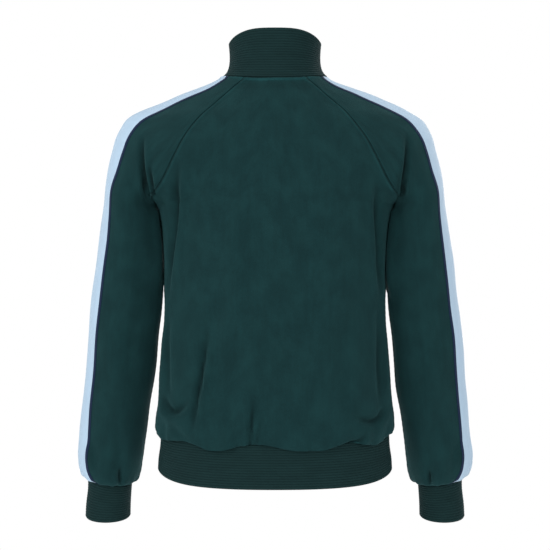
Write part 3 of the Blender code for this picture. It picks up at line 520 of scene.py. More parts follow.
# A sewn edge: the groove at the seam, and the welt that the seam allowance raises.
GROOVE = {"depth": 0.0011, "width": 0.0014}
WELT = {"height": 0.0006, "from_seam": 0.0040, "width": 0.0022}
NECK_WELT = {"height": 0.0013, "from_seam": 0.0030, "width": 0.0020}
WELT_SHARE = {"sleeve": 0.8, "body": 1.7}  # the seams are turned to the body
SEAM_TONE_WIDTH = 0.0028  # how far off a seam its painted highlight and its darkening reach
# Below the collar's seam: a painted highlight on the welt, and painted shade in a stretch under
# it.
NECK_TONE = {
    "pale_at": 0.0042, "pale_width": 0.0022, "dark_at": 0.0160, "dark_width": 0.0080,
    "dark": 0.20,
}
PUCKER = {"height": 0.00022, "length": 0.0095, "reach": 0.0060, "drift": 0.031}
SHARP_ANGLE = 60  # past which the edge of a piece is sharp

# ---------------------------------------------------------------- studio
CAMERA = {"place": (0, 2.2, -0.320), "turn": (90, 0, 180), "sensor": 36, "lens": 87.3}
FLOOR = {"height": -1.45, "half": 3, "grey": 0.86, "roughness": 0.9}
LIT_PLACE = (0, 0, -0.33)
# Soft lights round the garment: place, size and power.
LIGHTS = (
    ("key", (2.2, 2.2, 1.2), 1.2, 42),
    ("fill", (-1.9, 2.4, 0.3), 1.8, 10),
    ("soft", (0.5, 2.9, -0.1), 2.2, 46),
    ("front_key", (-2.2, -2.2, 1.2), 1.2, 42),
    ("front_fill", (1.9, -2.4, 0.3), 1.8, 10),
    ("front_soft", (-0.5, -2.9, -0.1), 2.2, 46),
    ("top", (0, 0.2, 2.6), 1.8, 10),
)

# ---------------------------------------------------------------- colours
# Each in its darker and its paler tone, mixed by the dye or the weave.
JERSEY_DEEP, JERSEY_PALE = (0.0028, 0.0163, 0.0178), (0.0036, 0.0194, 0.0208)
RIB_DEEP, RIB_PALE = (0.0036, 0.0140, 0.0145), (0.0045, 0.0162, 0.0167)
TAPE_SHADE, TAPE_PALE = (0.275, 0.370, 0.465), (0.305, 0.405, 0.505)
TAPE_NAVY = (0.003, 0.009, 0.030)
THREAD_DEEP, THREAD_PALE = (0.004, 0.012, 0.035), (0.010, 0.025, 0.065)
FIBRE_SHINE, FIBRE_SPREAD = 0.08, 0.5  # reflection of cloth, and how broad its sheen is


# ---------------------------------------------------------------- the cloth's surface
def section_depth(x, half_width, depth, squareness):
    """Superellipse: depth times (1 - (x / half_width) ** s) ** (1 / s)."""
    share = np.clip(np.abs(x) / half_width, 0, 1)
    return depth * (1 - share**squareness) ** (1 / squareness)


def crease_fade(x, z):
    """0 where body and sleeve part, 1 above: 1 - exp(-(height above the armpit / rise) ** p).

    The power p is 1 at the crease and 2 beside it, and the rise grows with it.
    """
    above = np.maximum(z - ARMPIT_HEIGHT, 0)
    off_crease = (np.abs(x) - BODY.read("half_width", z)) / CREASE_REACH
    beside = 1 - np.exp(-(off_crease**2))
    rise = CREASE_RISE["at"] + (CREASE_RISE["beside"] - CREASE_RISE["at"]) * beside
    return 1 - np.exp(-((above / rise) ** (1 + beside)))


def rounded_maximum(body, sleeve, off_crease, z):
    """max(body, sleeve) + width / 4 * (1 - |body - sleeve| / width) ** 2, near the crease."""
    width = CREASE_ROUNDING * np.clip((z - ARMPIT_HEIGHT) / ROUNDING_RISE, 1e-6, 1)
    near = np.maximum(1 - np.abs(body - sleeve) / width, 0)
    near = near * np.exp(-((off_crease / ROUNDING_REACH) ** 2))
    return np.maximum(body, sleeve) + near**2 * width / 4


def surface(x, z, side):
    """The outer face's point on the back or the front at x and z, before folds.

    Below the armpit y is the depth of the body's or the sleeve's rounded section. Above
    it that depth fades into one section, as wide as the shoulder's outline.
    """
    hanging = z < ARMPIT_HEIGHT
    above = np.maximum(z, ARMPIT_HEIGHT)
    crease = BODY.read("half_width", z)
    inner = np.where(hanging, SLEEVE.read("inner", z), crease)
    outer = np.where(hanging, SLEEVE.read("outer", z), SHOULDER.read("half_width", above))
    deepest, squareness = BODY.read(side, z), BODY.read("squareness", z)
    body = section_depth(x, crease, deepest, squareness)
    sleeve_half = np.maximum((outer - inner) / 2, SEAM_GAP)
    off_middle = np.abs(x) - (outer + inner) / 2
    sleeve = section_depth(off_middle, sleeve_half, SLEEVE.read("half_depth", z), 2.0)
    whole = section_depth(x, SHOULDER.read("half_width", above), deepest, squareness)
    parted = rounded_maximum(body, sleeve, np.abs(x) - crease, z)
    depth = parted + (whole - parted) * crease_fade(x, z)
    on_sleeve = hanging & (np.abs(x) > (crease + inner) / 2)
    middle = np.where(on_sleeve, SLEEVE.read("middle_y", z), 0)
    y = middle + (depth if side == "back" else -depth)
    return np.stack(np.broadcast_arrays(x, y, z), axis=-1)


def neck_height(x, side):
    """Height of the collar's seam: low + (side - low) * (|x| / half width) ** curve."""
    rise = (np.abs(x) / NECK_SIDE_X) ** NECK_CURVE[side]
    return NECK_LOW[side] + (NECK_SIDE_HEIGHT - NECK_LOW[side]) * rise


def hem_tilt(points):
    """The points, raised towards the front by a share that grows squared near the hem."""
    near = (HEM_TILT_FROM - points[..., 2]) / (HEM_TILT_FROM - HEM_SEAM_HEIGHT)
    lifted = points.copy()
    lifted[..., 2] += np.clip(near, 0, 1) ** 2 * HEM_TILT * (0.5 - points[..., 1] / HEM_DEPTH)
    return lifted


def cuff_lean(points):
    """The points, lowered towards the back and raised towards the sleeve's outer side, by a
    share that grows squared near the cuff. The raise fades out again down the cuff."""
    z = points[..., 2]
    near = np.clip((CUFF_LEAN_FROM - z) / (CUFF_LEAN_FROM - CUFF_SEAM_HEIGHT), 0, 1) ** 2
    off = points[..., 1] - SLEEVE.read("middle_y", z)
    inner, outer = SLEEVE.read("inner", z), SLEEVE.read("outer", z)
    outwards = (np.abs(points[..., 0]) - inner) / (outer - inner)
    on_cuff = np.clip((CUFF_SEAM_HEIGHT - z) / CUFF_DROP, 0, 1)
    leaned = points.copy()
    leaned[..., 2] += near * (CUFF_TILT * outwards * (1 - on_cuff) - CUFF_LEAN * off)
    return leaned


# ---------------------------------------------------------------- rows and rings
def run_of(line):
    """Distance along a line to each of its points: the sum of the steps before it."""
    steps = np.linalg.norm(np.diff(line, axis=0), axis=1)
    return np.concatenate([[0], np.cumsum(steps)])


def length_of(line):
    """The whole run of a line."""
    return np.linalg.norm(np.diff(line, axis=0), axis=1).sum()


def divided(line, distances):
    """Points of a line at these distances from its start."""
    run = run_of(line)
    return np.stack([np.interp(distances, run, line[:, axis]) for axis in range(3)], axis=-1)


def spaced(length, count, start=True, end=True):
    """count + 1 distances along a length: fine steps beside a sewn end, even ones between."""
    first = SEAM_STEPS if start else np.zeros(1)
    last = length - SEAM_STEPS[::-1] if end else np.full(1, length)
    between = count + 1 - len(first) - len(last)
    even = np.linspace(first[-1], last[0], between + 2)[1:-1]
    return np.concatenate([first, even, last])


def level_half(z, side, hand):
    """Half of the sleeve's ring at one height, from the underarm to the outermost line."""
    turn = np.linspace(0, np.pi, LINE_SAMPLES)
    inner, outer = SLEEVE.read("inner", z), SLEEVE.read("outer", z)
    x = (inner + outer) / 2 - (outer - inner) / 2 * np.cos(turn)
    return surface(hand * x, np.full_like(x, z), side)


def armhole_edge(share, side):
    """x and height of the sleeve's upper edge: up the raglan seam, then along the neck."""
    seam = RAGLAN[side]
    corner_x = seam.columns["x"][-1]
    on_seam = np.clip(share / CORNER_SHARE, 0, 1) * seam.places[-1]
    on_neck = np.clip((share - CORNER_SHARE) / (1 - CORNER_SHARE), 0, 1)
    neck_x = corner_x + (NECK_SIDE_X - corner_x) * on_neck
    past_corner = share > CORNER_SHARE
    x = np.where(past_corner, neck_x, seam.read("x", on_seam))
    z = np.where(past_corner, neck_height(neck_x, side), seam.read("height", on_seam))
    return x, z


def ridge_line():
    """The outermost line from the arm over the shoulder to the neck: its run, x and height."""
    z = np.linspace(FAN_FOOT, NECK_SIDE_HEIGHT, LINE_SAMPLES)
    above = SHOULDER.read("half_width", np.maximum(z, ARMPIT_HEIGHT))
    x = np.where(z < ARMPIT_HEIGHT, SLEEVE.read("outer", z), above)
    run = np.concatenate([[0], np.cumsum(np.hypot(np.diff(x), np.diff(z)))])
    return run, x, z


def fan_half(rise, side, hand):
    """Half of a ring of the sleeve's head, from the underarm to the outermost line.

    The ring runs straight from its foot to its top, bent by rise ** 1.5 of the armhole's
    edge: level at a rise of 0, and the armhole's edge itself at 1.
    """
    share = (1 - np.cos(np.linspace(0, np.pi, LINE_SAMPLES))) / 2
    foot_z = FAN_FOOT + (ARMPIT_HEIGHT - FAN_FOOT) * rise**FOOT_POWER
    foot_x = SLEEVE.read("inner", foot_z)
    run, line_x, line_z = ridge_line()
    top_x, top_z = np.interp(rise * run[-1], run, line_x), np.interp(rise * run[-1], run, line_z)
    edge_x, edge_z = armhole_edge(share, side)
    chord_x = edge_x[0] + (edge_x[-1] - edge_x[0]) * share
    chord_z = edge_z[0] + (edge_z[-1] - edge_z[0]) * share
    bend = rise**1.5
    x = foot_x + (top_x - foot_x) * share + bend * (edge_x - chord_x)
    z = foot_z + (top_z - foot_z) * share + bend * (edge_z - chord_z)
    x = np.where(z < ARMPIT_HEIGHT, np.maximum(x, SLEEVE.read("inner", z)), x)
    return surface(hand * x, z, side)


def seam_places(seam_length):
    """Shares of the raglan seam for its columns: closer to the underarm, fine at the neck."""
    places = np.linspace(0, 1, SEAM_COLUMNS + 2 - len(SEAM_STEPS)) ** UNDERARM_CROWDING
    fine = 1 - SEAM_STEPS[::-1] / seam_length
    return np.concatenate([places[:-1] * fine[0], fine])


def column_shares(side, seam_share, rise, seam_length):
    """Where a ring's columns lie, from the underarm, at 0, to the tape, at 1."""
    seam, neck = SEAM_COLUMNS, NECK_COLUMNS[side]
    even = np.linspace(0, 1, seam + neck + 1)
    on_seam = seam_share * seam_places(seam_length)
    on_neck = np.linspace(seam_share, 1, neck + 1)[1:]
    return even + (np.concatenate([on_seam, on_neck]) - even) * rise**2


def seam_length(side, hand):
    """Length of a raglan seam, from the underarm to the neck."""
    x, z = armhole_edge(np.linspace(0, CORNER_SHARE, LINE_SAMPLES), side)
    return length_of(surface(hand * x, z, side))


def closed_ring(halves, rise, seams):
    """A ring's points: from the underarm up the back, across the tape and down the front.

    seams are the lengths of the raglan seams, which the columns follow near the armhole.
    """
    behind = TAPE_LINE.read("behind", halves["back"][-1, 2])
    reach = {"back": behind, "front": TAPE_WIDTH - behind}
    size = {side: length_of(halves[side]) for side in halves}
    plain = {side: size[side] - reach[side] for side in halves}
    shares = {}
    for side, seam in seams.items():
        shares[side] = column_shares(side, min(seam / plain[side], 1), rise, seam)
    line = np.concatenate([halves["back"], halves["front"][::-1][1:]])
    up = shares["back"] * plain["back"]
    across = plain["back"] + np.linspace(0, TAPE_WIDTH, TAPE_COLUMNS + 1)[1:-1]
    down = size["back"] + size["front"] - shares["front"][::-1] * plain["front"]
    return divided(line, np.concatenate([up, across, down[:-1]]))


def sleeve_rings(hand):
    """The sleeve's outer points, a row for each ring from the cuff to the armhole."""
    rings = []
    seams = {side: seam_length(side, hand) for side in PANELS}
    arm = spaced(FAN_FOOT - CUFF_SEAM_HEIGHT, SLEEVE_LEVELS, end=False)
    for z in CUFF_SEAM_HEIGHT + arm:
        halves = {side: level_half(z, side, hand) for side in PANELS}
        rings.append(closed_ring(halves, 0, seams))
    head = ridge_line()[0][-1]
    for rise in spaced(head, FAN_RINGS, start=False)[1:] / head:
        halves = {side: fan_half(rise, side, hand) for side in PANELS}
        rings.append(closed_ring(halves, rise, seams))
    return np.array(rings)


def raglan_points(ring, side):
    """The part of the armhole's edge that is sewn to the back or the front, armpit first."""
    if side == "back":
        return ring[: SEAM_COLUMNS + 1]
    return np.concatenate([ring[:1], ring[: -SEAM_COLUMNS - 1 : -1]])


def neck_points(ring):
    """The part of the armhole's edge that is sewn to the collar, from the back to the front."""
    return ring[SEAM_COLUMNS : len(ring) - SEAM_COLUMNS + 1]


def row_across(edge_x, edge_z, side):
    """A row of a panel's outer points, from its right edge to its left one."""
    corner_x = RAGLAN[side].columns["x"][-1]
    corner_z = RAGLAN[side].columns["height"][-1]
    x = edge_x * np.sin(np.linspace(-np.pi / 2, np.pi / 2, LINE_SAMPLES))
    share = np.clip((edge_z - ROWS_BEND_FROM) / (corner_z - ROWS_BEND_FROM), 0, 1)
    curve = neck_height(x * corner_x / edge_x, side) - neck_height(corner_x, side)
    line = surface(x, edge_z + share**2 * curve, side)
    return divided(line, spaced(length_of(line), BODY_COLUMNS))


def panel_rows(side, raglan):
    """The outer points of the back or the front, a row for each level from the hem up."""
    levels = spaced(ARMPIT_HEIGHT - HEM_SEAM_HEIGHT, BODY_LEVELS, end=False)
    rows = [row_across(BODY.read("half_width", z), z, side) for z in HEM_SEAM_HEIGHT + levels]
    rows += [row_across(x, z, side) for x, _, z in raglan[1:]]
    return np.array(rows)


# ---------------------------------------------------------------- thickness and seams
def unit(vectors):
    """Each vector divided by its length."""
    size = np.linalg.norm(vectors, axis=-1, keepdims=True)
    return vectors / np.maximum(size, 1e-9)


def joined_ends(grid, tube):
    """The grid, with a tube's first column repeated as its last."""
    return np.concatenate([grid, grid[:, :1]], axis=1) if tube else grid


def grid_normals(grid, tube):
    """Sum of the directions of the faces that meet at each point of a grid."""
    ring = joined_ends(grid, tube)
    faces = unit(np.cross(ring[:-1, 1:] - ring[1:, :-1], ring[1:, 1:] - ring[:-1, :-1]))
    total = np.zeros_like(ring)
    for row in (slice(None, -1), slice(1, None)):
        for column in (slice(None, -1), slice(1, None)):
            total[row, column] += faces
    if tube:
        total[:, 0] += total[:, -1]
        total = total[:, :-1]
    return total


def outward(grid, tube, middle):
    """The directions of a grid's points, turned away from the middle of the piece."""
    total = grid_normals(grid, tube)
    facing = ((grid - middle) * unit(total)).sum()
    return total * np.sign(facing)


def shared_directions(grids, directions):
    """The directions, summed where points of different pieces meet at a seam."""
    names = list(grids)
    points = np.concatenate([grids[name].reshape(-1, 3) for name in names])
    sums = np.concatenate([directions[name].reshape(-1, 3) for name in names])
    places, index = np.unique(np.round(points, 6), axis=0, return_inverse=True)
    total = np.zeros_like(places)
    np.add.at(total, index.ravel(), sums)
    shared = unit(total)[index.ravel()]
    result, start = {}, 0
    for name in names:
        size = grids[name][..., 0].size
        result[name] = shared[start : start + size].reshape(grids[name].shape)
        start += size
    return result


def drawn_in(edge, inside, closed):
    """An edge's points, moved half a seam's gap towards the inside of their piece."""
    if closed:
        run = np.roll(edge, -1, axis=0) - np.roll(edge, 1, axis=0)
    else:
        run = np.gradient(edge, axis=0)
    along = unit(run)
    across = inside - edge
    across = across - (across * along).sum(axis=-1, keepdims=True) * along
    return edge + unit(across) * SEAM_GAP / 2


def level_directions(directions):
    """The directions with no rise or fall, for a seam that lies in a level plane."""
    flat = directions.copy()
    flat[..., 2] = 0
    return unit(flat)


def mitred(directions, points):
    """Directions at the collar's seam, halfway between the shoulder's and the collar's own."""
    out = np.stack([points[..., 0] / NECK_SIDE_X**2, points[..., 1] / NECK_DEPTH**2], axis=-1)
    return unit(directions + unit(np.pad(out, [(0, 0), (0, 1)])))


def tube_radials(ring):
    """The level directions that point out of a ring."""
    run = np.roll(ring, -1, axis=0) - np.roll(ring, 1, axis=0)
    out = np.stack([run[:, 1], -run[:, 0], np.zeros(len(run))], axis=-1)
    facing = ((ring - ring.mean(axis=0)) * out).sum()
    return unit(out * np.sign(facing))


# ---------------------------------------------------------------- relief
def bump(off, width):
    """exp(-(off / width) ** 2): a soft hump, 1 in its middle."""
    return np.exp(-((off / width) ** 2))


def smooth_step(value, low, high):
    """0 below low and 1 above high, with an S-shaped rise between: t * t * (3 - 2 * t)."""
    t = np.clip((value - low) / (high - low), 0, 1)
    return t * t * (3 - 2 * t)


def distance_to(points, line):
    """Distance of each point of a grid to the nearest of a line's points, and that one's run.

    The nearest point q is the one with the least |q| ** 2 - 2 p . q.
    """
    nearest = ((line**2).sum(axis=-1) - 2 * points @ line.T).argmin(axis=-1)
    return np.linalg.norm(points - line[nearest], axis=-1), run_of(line)[nearest]


def seam_relief(points, line, welt):
    """Relief beside a seam, and each point's distance from it: a groove, a welt beside it,
    and puckers of sin(2 pi * run / length + 2 sin(run / drift)) along it."""
    off, run = distance_to(points, line)
    height = -GROOVE["depth"] * bump(off, GROOVE["width"])
    height = height + welt["height"] * bump(off - welt["from_seam"], welt["width"])
    drift = 2 * np.sin(run / PUCKER["drift"])
    puckers = np.sin(2 * np.pi * run / PUCKER["length"] + drift)
    fade = smooth_step(off, 0, SEAM_STEPS[3]) * bump(off, PUCKER["reach"])
    return height + PUCKER["height"] * puckers * fade, off


def undulation(points):
    """Sum of waves through space, height * sin(2 pi * (along its direction) / length + start)."""
    total = np.zeros(points.shape[:-1])
    for length, x, y, z, height, start in WAVES.rows():
        along = points @ unit(np.array([x, y, z]))
        total += height * np.sin(2 * np.pi * along / length + start)
    return total


def bent_line(x0, z0, x1, z1, x2, z2):
    """A curve from the first point to the last, through the middle one: a parabola."""
    t = np.linspace(0, 1, FOLD_PIECES + 1)[:, None]
    ends, middle = np.array([[x0, z0], [x2, z2]]), np.array([x1, z1])
    pull = 2 * middle - ends.mean(axis=0)
    return (1 - t) ** 2 * ends[0] + 2 * t * (1 - t) * pull + t**2 * ends[1]


def off_line(x, z, line):
    """Signed distance of each point to a line, and how far along the line it is, 0 to 1."""
    best = np.full(x.shape, np.inf)
    signed, place = np.zeros(x.shape), np.zeros(x.shape)
    for k, (start, end) in enumerate(zip(line[:-1], line[1:])):
        run = end - start
        t = np.clip(((x - start[0]) * run[0] + (z - start[1]) * run[1]) / (run @ run), 0, 1)
        dx, dz = x - start[0] - t * run[0], z - start[1] - t * run[1]
        off = np.hypot(dx, dz)
        closer = off < best
        best = np.where(closer, off, best)
        signed = np.where(closer, off * np.sign(run[0] * dz - run[1] * dx), signed)
        place = np.where(closer, (k + t) / (len(line) - 1), place)
    return signed, place


def fold_relief(x, z, side):
    """Sum over the folds: -depth * bump at the line, + crest * bump beside it, faded out
    towards both ends of the line as a power of sin(pi * place). Also how much a steep fold
    shades itself, from 0 to 1."""
    total, shade = np.zeros(x.shape), np.zeros(x.shape)
    for *corners, width, depth, crest, lean in FOLDS[side].rows():
        signed, place = off_line(x, z, bent_line(*corners))
        fade = np.sin(np.pi * np.clip(place, *FOLD_ENDS)) ** FOLD_FADE
        trough = bump(signed, width)
        beside = bump(signed - lean * CREST_OFF * width, CREST_WIDTH * width)
        total += fade * (crest * beside - depth * trough)
        # Painted shade: a steep fold's trough is darkened in the colour through this value.
        steep = smooth_step(depth / width, *STEEP)
        shade = np.maximum(shade, steep * fade * bump(signed, SHADE_WIDTH * width))
    return np.stack([total, shade])


def folds_on(points, directions):
    """The folds of the back and of the front, each by how far the cloth faces that way."""
    x, z = points[..., 0], points[..., 2]
    facing_back = smooth_step(directions[..., 1], *FACING)
    facing_front = smooth_step(-directions[..., 1], *FACING)
    return facing_back * fold_relief(x, z, "back") + facing_front * fold_relief(x, z, "front")


def gathers(turn, above, girth, table):
    """Troughs that rise from a gathered seam: -depth * exp(-(above / reach) ** 2) * trough,
    where trough is a bump with two lower rises beside it, and opens out with its height."""
    total = np.zeros(turn.shape)
    for place, lean, width, reach, depth in table.rows():
        off = (turn - place + 0.5) % 1 - 0.5
        across = off * girth - lean * above
        open_out = width * (1 + above / reach)
        beside = bump(np.abs(across) - 2 * open_out, open_out)
        trough = bump(across, open_out) - GATHER_RISES * beside
        total -= depth * np.exp(-((above / reach) ** 2)) * trough
    return total


def hem_turn(points):
    """Turn round the hem from the left side by the back: 0 to 1."""
    angle = np.arctan2(points[..., 1] / HEM_RADII["y"], points[..., 0] / HEM_RADII["x"])
    return (angle / (2 * np.pi)) % 1


def at_side(column, points):
    """A column of SIDES for the left, or for the right where x is below 0."""
    left, right = (SIDES.read(side + "_" + column, points[..., 2]) for side in SLEEVES)
    return np.where(points[..., 0] > 0, left, right)


def body_relief(points, directions):
    """Folds, slow waves and the hem's gathers on the back or the front, and their shade."""
    above = points[..., 2] - HEM_SEAM_HEIGHT
    turn = hem_turn(points)
    off_seam = smooth_step(above, 0, SEAM_CLEAR)
    folds, shade = folds_on(points, directions)
    height = undulation(points) + folds + gathers(turn, above, HEM_GIRTH, HEM_GATHERS)
    beside = smooth_step(np.abs(directions[..., 0]), *BODY_SIDE)
    return (height - at_side("body_in", points) * beside) * off_seam, shade


def hang_over(points, seam_height, drop):
    """The points near a gathered seam, lowered by drop * bump(height above it)."""
    above = points[..., 2] - seam_height
    hung = points.copy()
    share = bump(above - OVERHANG_HEIGHT, OVERHANG_SPREAD)
    hung[..., 2] -= drop * (share * smooth_step(above, 0, OVERHANG_START))
    return hung


def sleeve_turn(points):
    """Turn round the sleeve from its inner line by the back: 0 to 1."""
    z = points[..., 2]
    middle_x = (SLEEVE.read("inner", z) + SLEEVE.read("outer", z)) / 2
    off_x = middle_x - np.abs(points[..., 0])
    return (np.arctan2(points[..., 1] - SLEEVE.read("middle_y", z), off_x) / (2 * np.pi)) % 1


def pressed(points):
    """The sleeve's inner side: press * bump across the cloth on both sides of the line that
    faces the body, less sleeve_in all over that side."""
    z = points[..., 2]
    off = points[..., 1] - SLEEVE.read("middle_y", z)
    inner, outer = SLEEVE.read("inner", z), SLEEVE.read("outer", z)
    inner_side = smooth_step((inner + outer) / 2 - np.abs(points[..., 0]), *INNER_SIDE)
    swelling = bump(np.abs(off) - PRESS_OFF, PRESS_WIDTH)
    return inner_side * (at_side("press", points) * swelling - SIDES.read("sleeve_in", z))


def sleeve_relief(points, directions):
    """Folds, slow waves and the cuff's gathers on a sleeve, and their shade."""
    above = points[..., 2] - CUFF_SEAM_HEIGHT
    off_seam = smooth_step(above, 0, SEAM_CLEAR)
    folds, shade = folds_on(points, directions)
    height = undulation(points) + folds + pressed(points)
    height = height + gathers(sleeve_turn(points), above, CUFF_GIRTH, CUFF_GATHERS)
    return height * off_seam, shade


# ---------------------------------------------------------------- cloth pieces
def jersey_grids():
    """Outer points and outward directions of the back, the front and both sleeves."""
    grids = {name: sleeve_rings(hand) for name, hand in SLEEVES.items()}
    for side in PANELS:
        grids[side] = panel_rows(side, raglan_points(grids["left"][-1], side))
    directions = {}
    for name in SLEEVES:
        directions[name] = outward(grids[name], True, grids[name].mean(axis=1, keepdims=True))
    for side in PANELS:
        directions[side] = outward(grids[side], False, np.array([0, 0, HEM_SEAM_HEIGHT / 2]))
    shared = shared_directions(grids, directions)
    for name in SLEEVES:
        shared[name][-1, 0] = UNDERARM_OUT
        shared[name][0] = level_directions(shared[name][0])
        neck = neck_points(np.arange(shared[name].shape[1]))
        shared[name][-1, neck] = mitred(shared[name][-1, neck], grids[name][-1, neck])
    for side in PANELS:
        shared[side][BODY_LEVELS, [0, -1]] = UNDERARM_OUT
        shared[side][0] = level_directions(shared[side][0])
        shared[side][-1] = mitred(shared[side][-1], grids[side][-1])
    return grids, shared


def neck_ring(rows):
    """The collar's seam: from the back's middle, round the left shoulder, to the back again."""
    left, right = (neck_points(rows[name][-1]) for name in SLEEVES)
    back, front = rows["back"][-1], rows["front"][-1]
    half = BODY_COLUMNS // 2
    stretches = (back[half:-1], left, front[-2:0:-1], right[::-1], back[1:half])
    return np.concatenate(stretches)


def sewn_lines(grids):
    """All the lines along which the cloth is sewn, each with the welt beside it."""
    back, front = grids["back"], grids["front"]
    hem = np.concatenate([back[0], front[0, ::-1]])
    lines = [(hem, WELT), (neck_ring(grids), NECK_WELT)]
    for column in (0, -1):
        lines.append((back[: BODY_LEVELS + 1, column], WELT))
    for name in SLEEVES:
        first, last = grids[name][0], grids[name][-1]
        lines.append((np.concatenate([first, first[:1]]), WELT))
        lines.append((grids[name][:, 0], WELT))
        lines += [(raglan_points(last, side), WELT) for side in PANELS]
    return lines


def finished_rows(grids, directions, name):
    """A piece's outer points with all their relief, and three values from 0 to 1: how near
    each is to a seam, how much painted shade it has, in steep folds and below the collar, and
    how much painted highlight it has on the welt below the collar. All relief fades out
    round the underarm point, and a welt is higher on the body, to which the seams are turned.
    """
    points, out = grids[name], directions[name]
    relief = sleeve_relief if name in SLEEVES else body_relief
    height, shade = relief(points, out)
    near = np.zeros(height.shape)
    turned = WELT_SHARE["sleeve" if name in SLEEVES else "body"]
    for line, welt in sewn_lines(grids):
        rise, off = seam_relief(points, line, {**welt, "height": turned * welt["height"]})
        height = height + rise
        near = np.maximum(near, bump(off, turned * SEAM_TONE_WIDTH))
        if welt is NECK_WELT:
            # Below the collar's seam: a painted highlight on its welt, and painted shade in a
            # stretch under it.
            pale = bump(off - NECK_TONE["pale_at"], NECK_TONE["pale_width"])
            under = bump(off - NECK_TONE["dark_at"], NECK_TONE["dark_width"])
            shade = np.maximum(shade, NECK_TONE["dark"] * under)
    off_underarm = np.hypot(
        np.abs(points[..., 0]) - UNDERARM["x"], points[..., 2] - UNDERARM["z"]
    )
    height = height * smooth_step(off_underarm, UNDERARM["plain"], UNDERARM["folded"])
    moved = points + out * height[..., None]
    # shade is painted shade, of steep folds and under the collar; pale is a painted highlight on
    # the collar's welt.
    values = {"seam": near, "shade": shade, "pale": pale}
    if name in SLEEVES:
        return hang_over(moved, CUFF_SEAM_HEIGHT, CUFF_OVERHANG), values
    drop = OVERHANG.read("drop", hem_turn(points))
    return hang_over(moved, HEM_SEAM_HEIGHT, drop), values


def sleeve_walls(rows, directions, hand):
    """The sleeve's outer and inner points, drawn in at the cuff and at the armhole."""
    walls = []
    for grid in (rows.copy(), rows - CLOTH * directions):
        grid[0] = drawn_in(grid[0], grid[2], closed=True)
        grid[-1] = drawn_in(grid[-1], grid[-3], closed=True)
        grid[-1, 0, 0] += hand * SEAM_GAP / 2
        walls.append(cuff_lean(grid))
    return walls


def panel_walls(rows, directions):
    """A panel's outer and inner points, drawn in at all four edges."""
    walls = []
    for grid in (rows.copy(), rows - CLOTH * directions):
        edges = {
            "hem": drawn_in(grid[0], grid[2], closed=False) - grid[0],
            "neck": drawn_in(grid[-1], grid[-3], closed=False) - grid[-1],
            "right": drawn_in(grid[:, 0], grid[:, 2], closed=False) - grid[:, 0],
            "left": drawn_in(grid[:, -1], grid[:, -3], closed=False) - grid[:, -1],
        }
        grid[0] += edges["hem"]
        grid[-1] += edges["neck"]
        grid[:, 0] += edges["right"]
        grid[:, -1] += edges["left"]
        grid[BODY_LEVELS, 0, 0] += SEAM_GAP / 2
        grid[BODY_LEVELS, -1, 0] -= SEAM_GAP / 2
        walls.append(hem_tilt(grid))
    return walls


# ---------------------------------------------------------------- ribbed pieces
def ridge(share, ridges):
    """Height of the ribs along a ribbed piece: 1 - |2 f - 1| ** 2.2, f from 0 to 1 on each."""
    place = (ridges * share) % 1
    return RIDGE_HEIGHT * (1 - np.abs(2 * place - 1) ** 2.2)


def collar_wall(share, seam):
    """The collar between its ridges: from its seam, at 0, to its rim, at 1.

    Each point keeps its direction from the neck's middle. Its distance from there falls
    from the seam's to the rim's as exp(-flare * share), less a waist of sin(pi * share). The
    back of the rim is RIM_LEVEL * (sin(2 angle) ** 2 - sin(angle) ** 8 / 2) higher.
    """
    angle = np.arctan2(seam[:, 1], seam[:, 0])
    back = seam[:, 1] > 0
    depth = np.where(back, RIM_DEPTH["back"], RIM_DEPTH["front"])
    across, deep = np.abs(np.cos(angle)) / RIM_HALF_WIDTH, np.abs(np.sin(angle)) / depth
    reach = (across**RIM_SQUARENESS + deep**RIM_SQUARENESS) ** (-1 / RIM_SQUARENESS)
    end_height = np.where(back, RIM_HEIGHT["back"], RIM_HEIGHT["front"])
    height = RIM_SIDE_HEIGHT + (end_height - RIM_SIDE_HEIGHT) * np.sin(angle) ** 2
    level = RIM_LEVEL * (np.sin(2 * angle) ** 2 - 0.5 * np.sin(angle) ** 8)
    height = height + np.where(back, level, 0)
    share = share[:, None]
    flare = (np.exp(-COLLAR_FLARE * share) - np.exp(-COLLAR_FLARE)) / (1 - np.exp(-COLLAR_FLARE))
    wide = np.hypot(seam[:, 0], seam[:, 1])
    radius = reach + (wide - reach) * flare - COLLAR_WAIST * np.sin(np.pi * share)
    z = seam[:, 2] + (height - seam[:, 2]) * share
    return np.stack([radius * np.cos(angle), radius * np.sin(angle), z], axis=-1)


def hem_wall(share):
    """The hem between its ridges: |x / a| ** s + |y / b| ** s = 1, with a and b by height.

    Its lower edge is HEM_CURL * |cos| ** 6 higher towards the sides, and the rise starts a
    quarter of the way down.
    """
    angle = np.arange(HEM_COLUMNS) * 2 * np.pi / HEM_COLUMNS
    power = 2 / HEM_SQUARENESS
    cos, sin = np.cos(angle), np.sin(angle)
    share = share[:, None]
    x = HEM.read("half_width", share) * np.sign(cos) * np.abs(cos) ** power
    depth = np.where(sin > 0, HEM.read("back", share), HEM.read("front", share))
    y = depth * np.sign(sin) * np.abs(sin) ** power
    curl = HEM_CURL * np.abs(cos) ** 6 * smooth_step(share, 0.25, 1)
    z = HEM_SEAM_HEIGHT - HEM_DROP * share + curl
    return np.stack(np.broadcast_arrays(x, y, z), axis=-1)


def cuff_wall(share, hand):
    """The cuff between its ridges: ellipses whose middle and size follow the height."""
    angle = np.arange(CUFF_COLUMNS) * 2 * np.pi / CUFF_COLUMNS
    share = share[:, None]
    x = CUFF.read("middle_x", share) + CUFF.read("half_width", share) * np.cos(angle)
    y = CUFF.read("middle_y", share) + CUFF.read("half_depth", share) * np.sin(angle)
    z = CUFF_SEAM_HEIGHT - CUFF_DROP * share
    return np.stack(np.broadcast_arrays(hand * x, y, z), axis=-1)


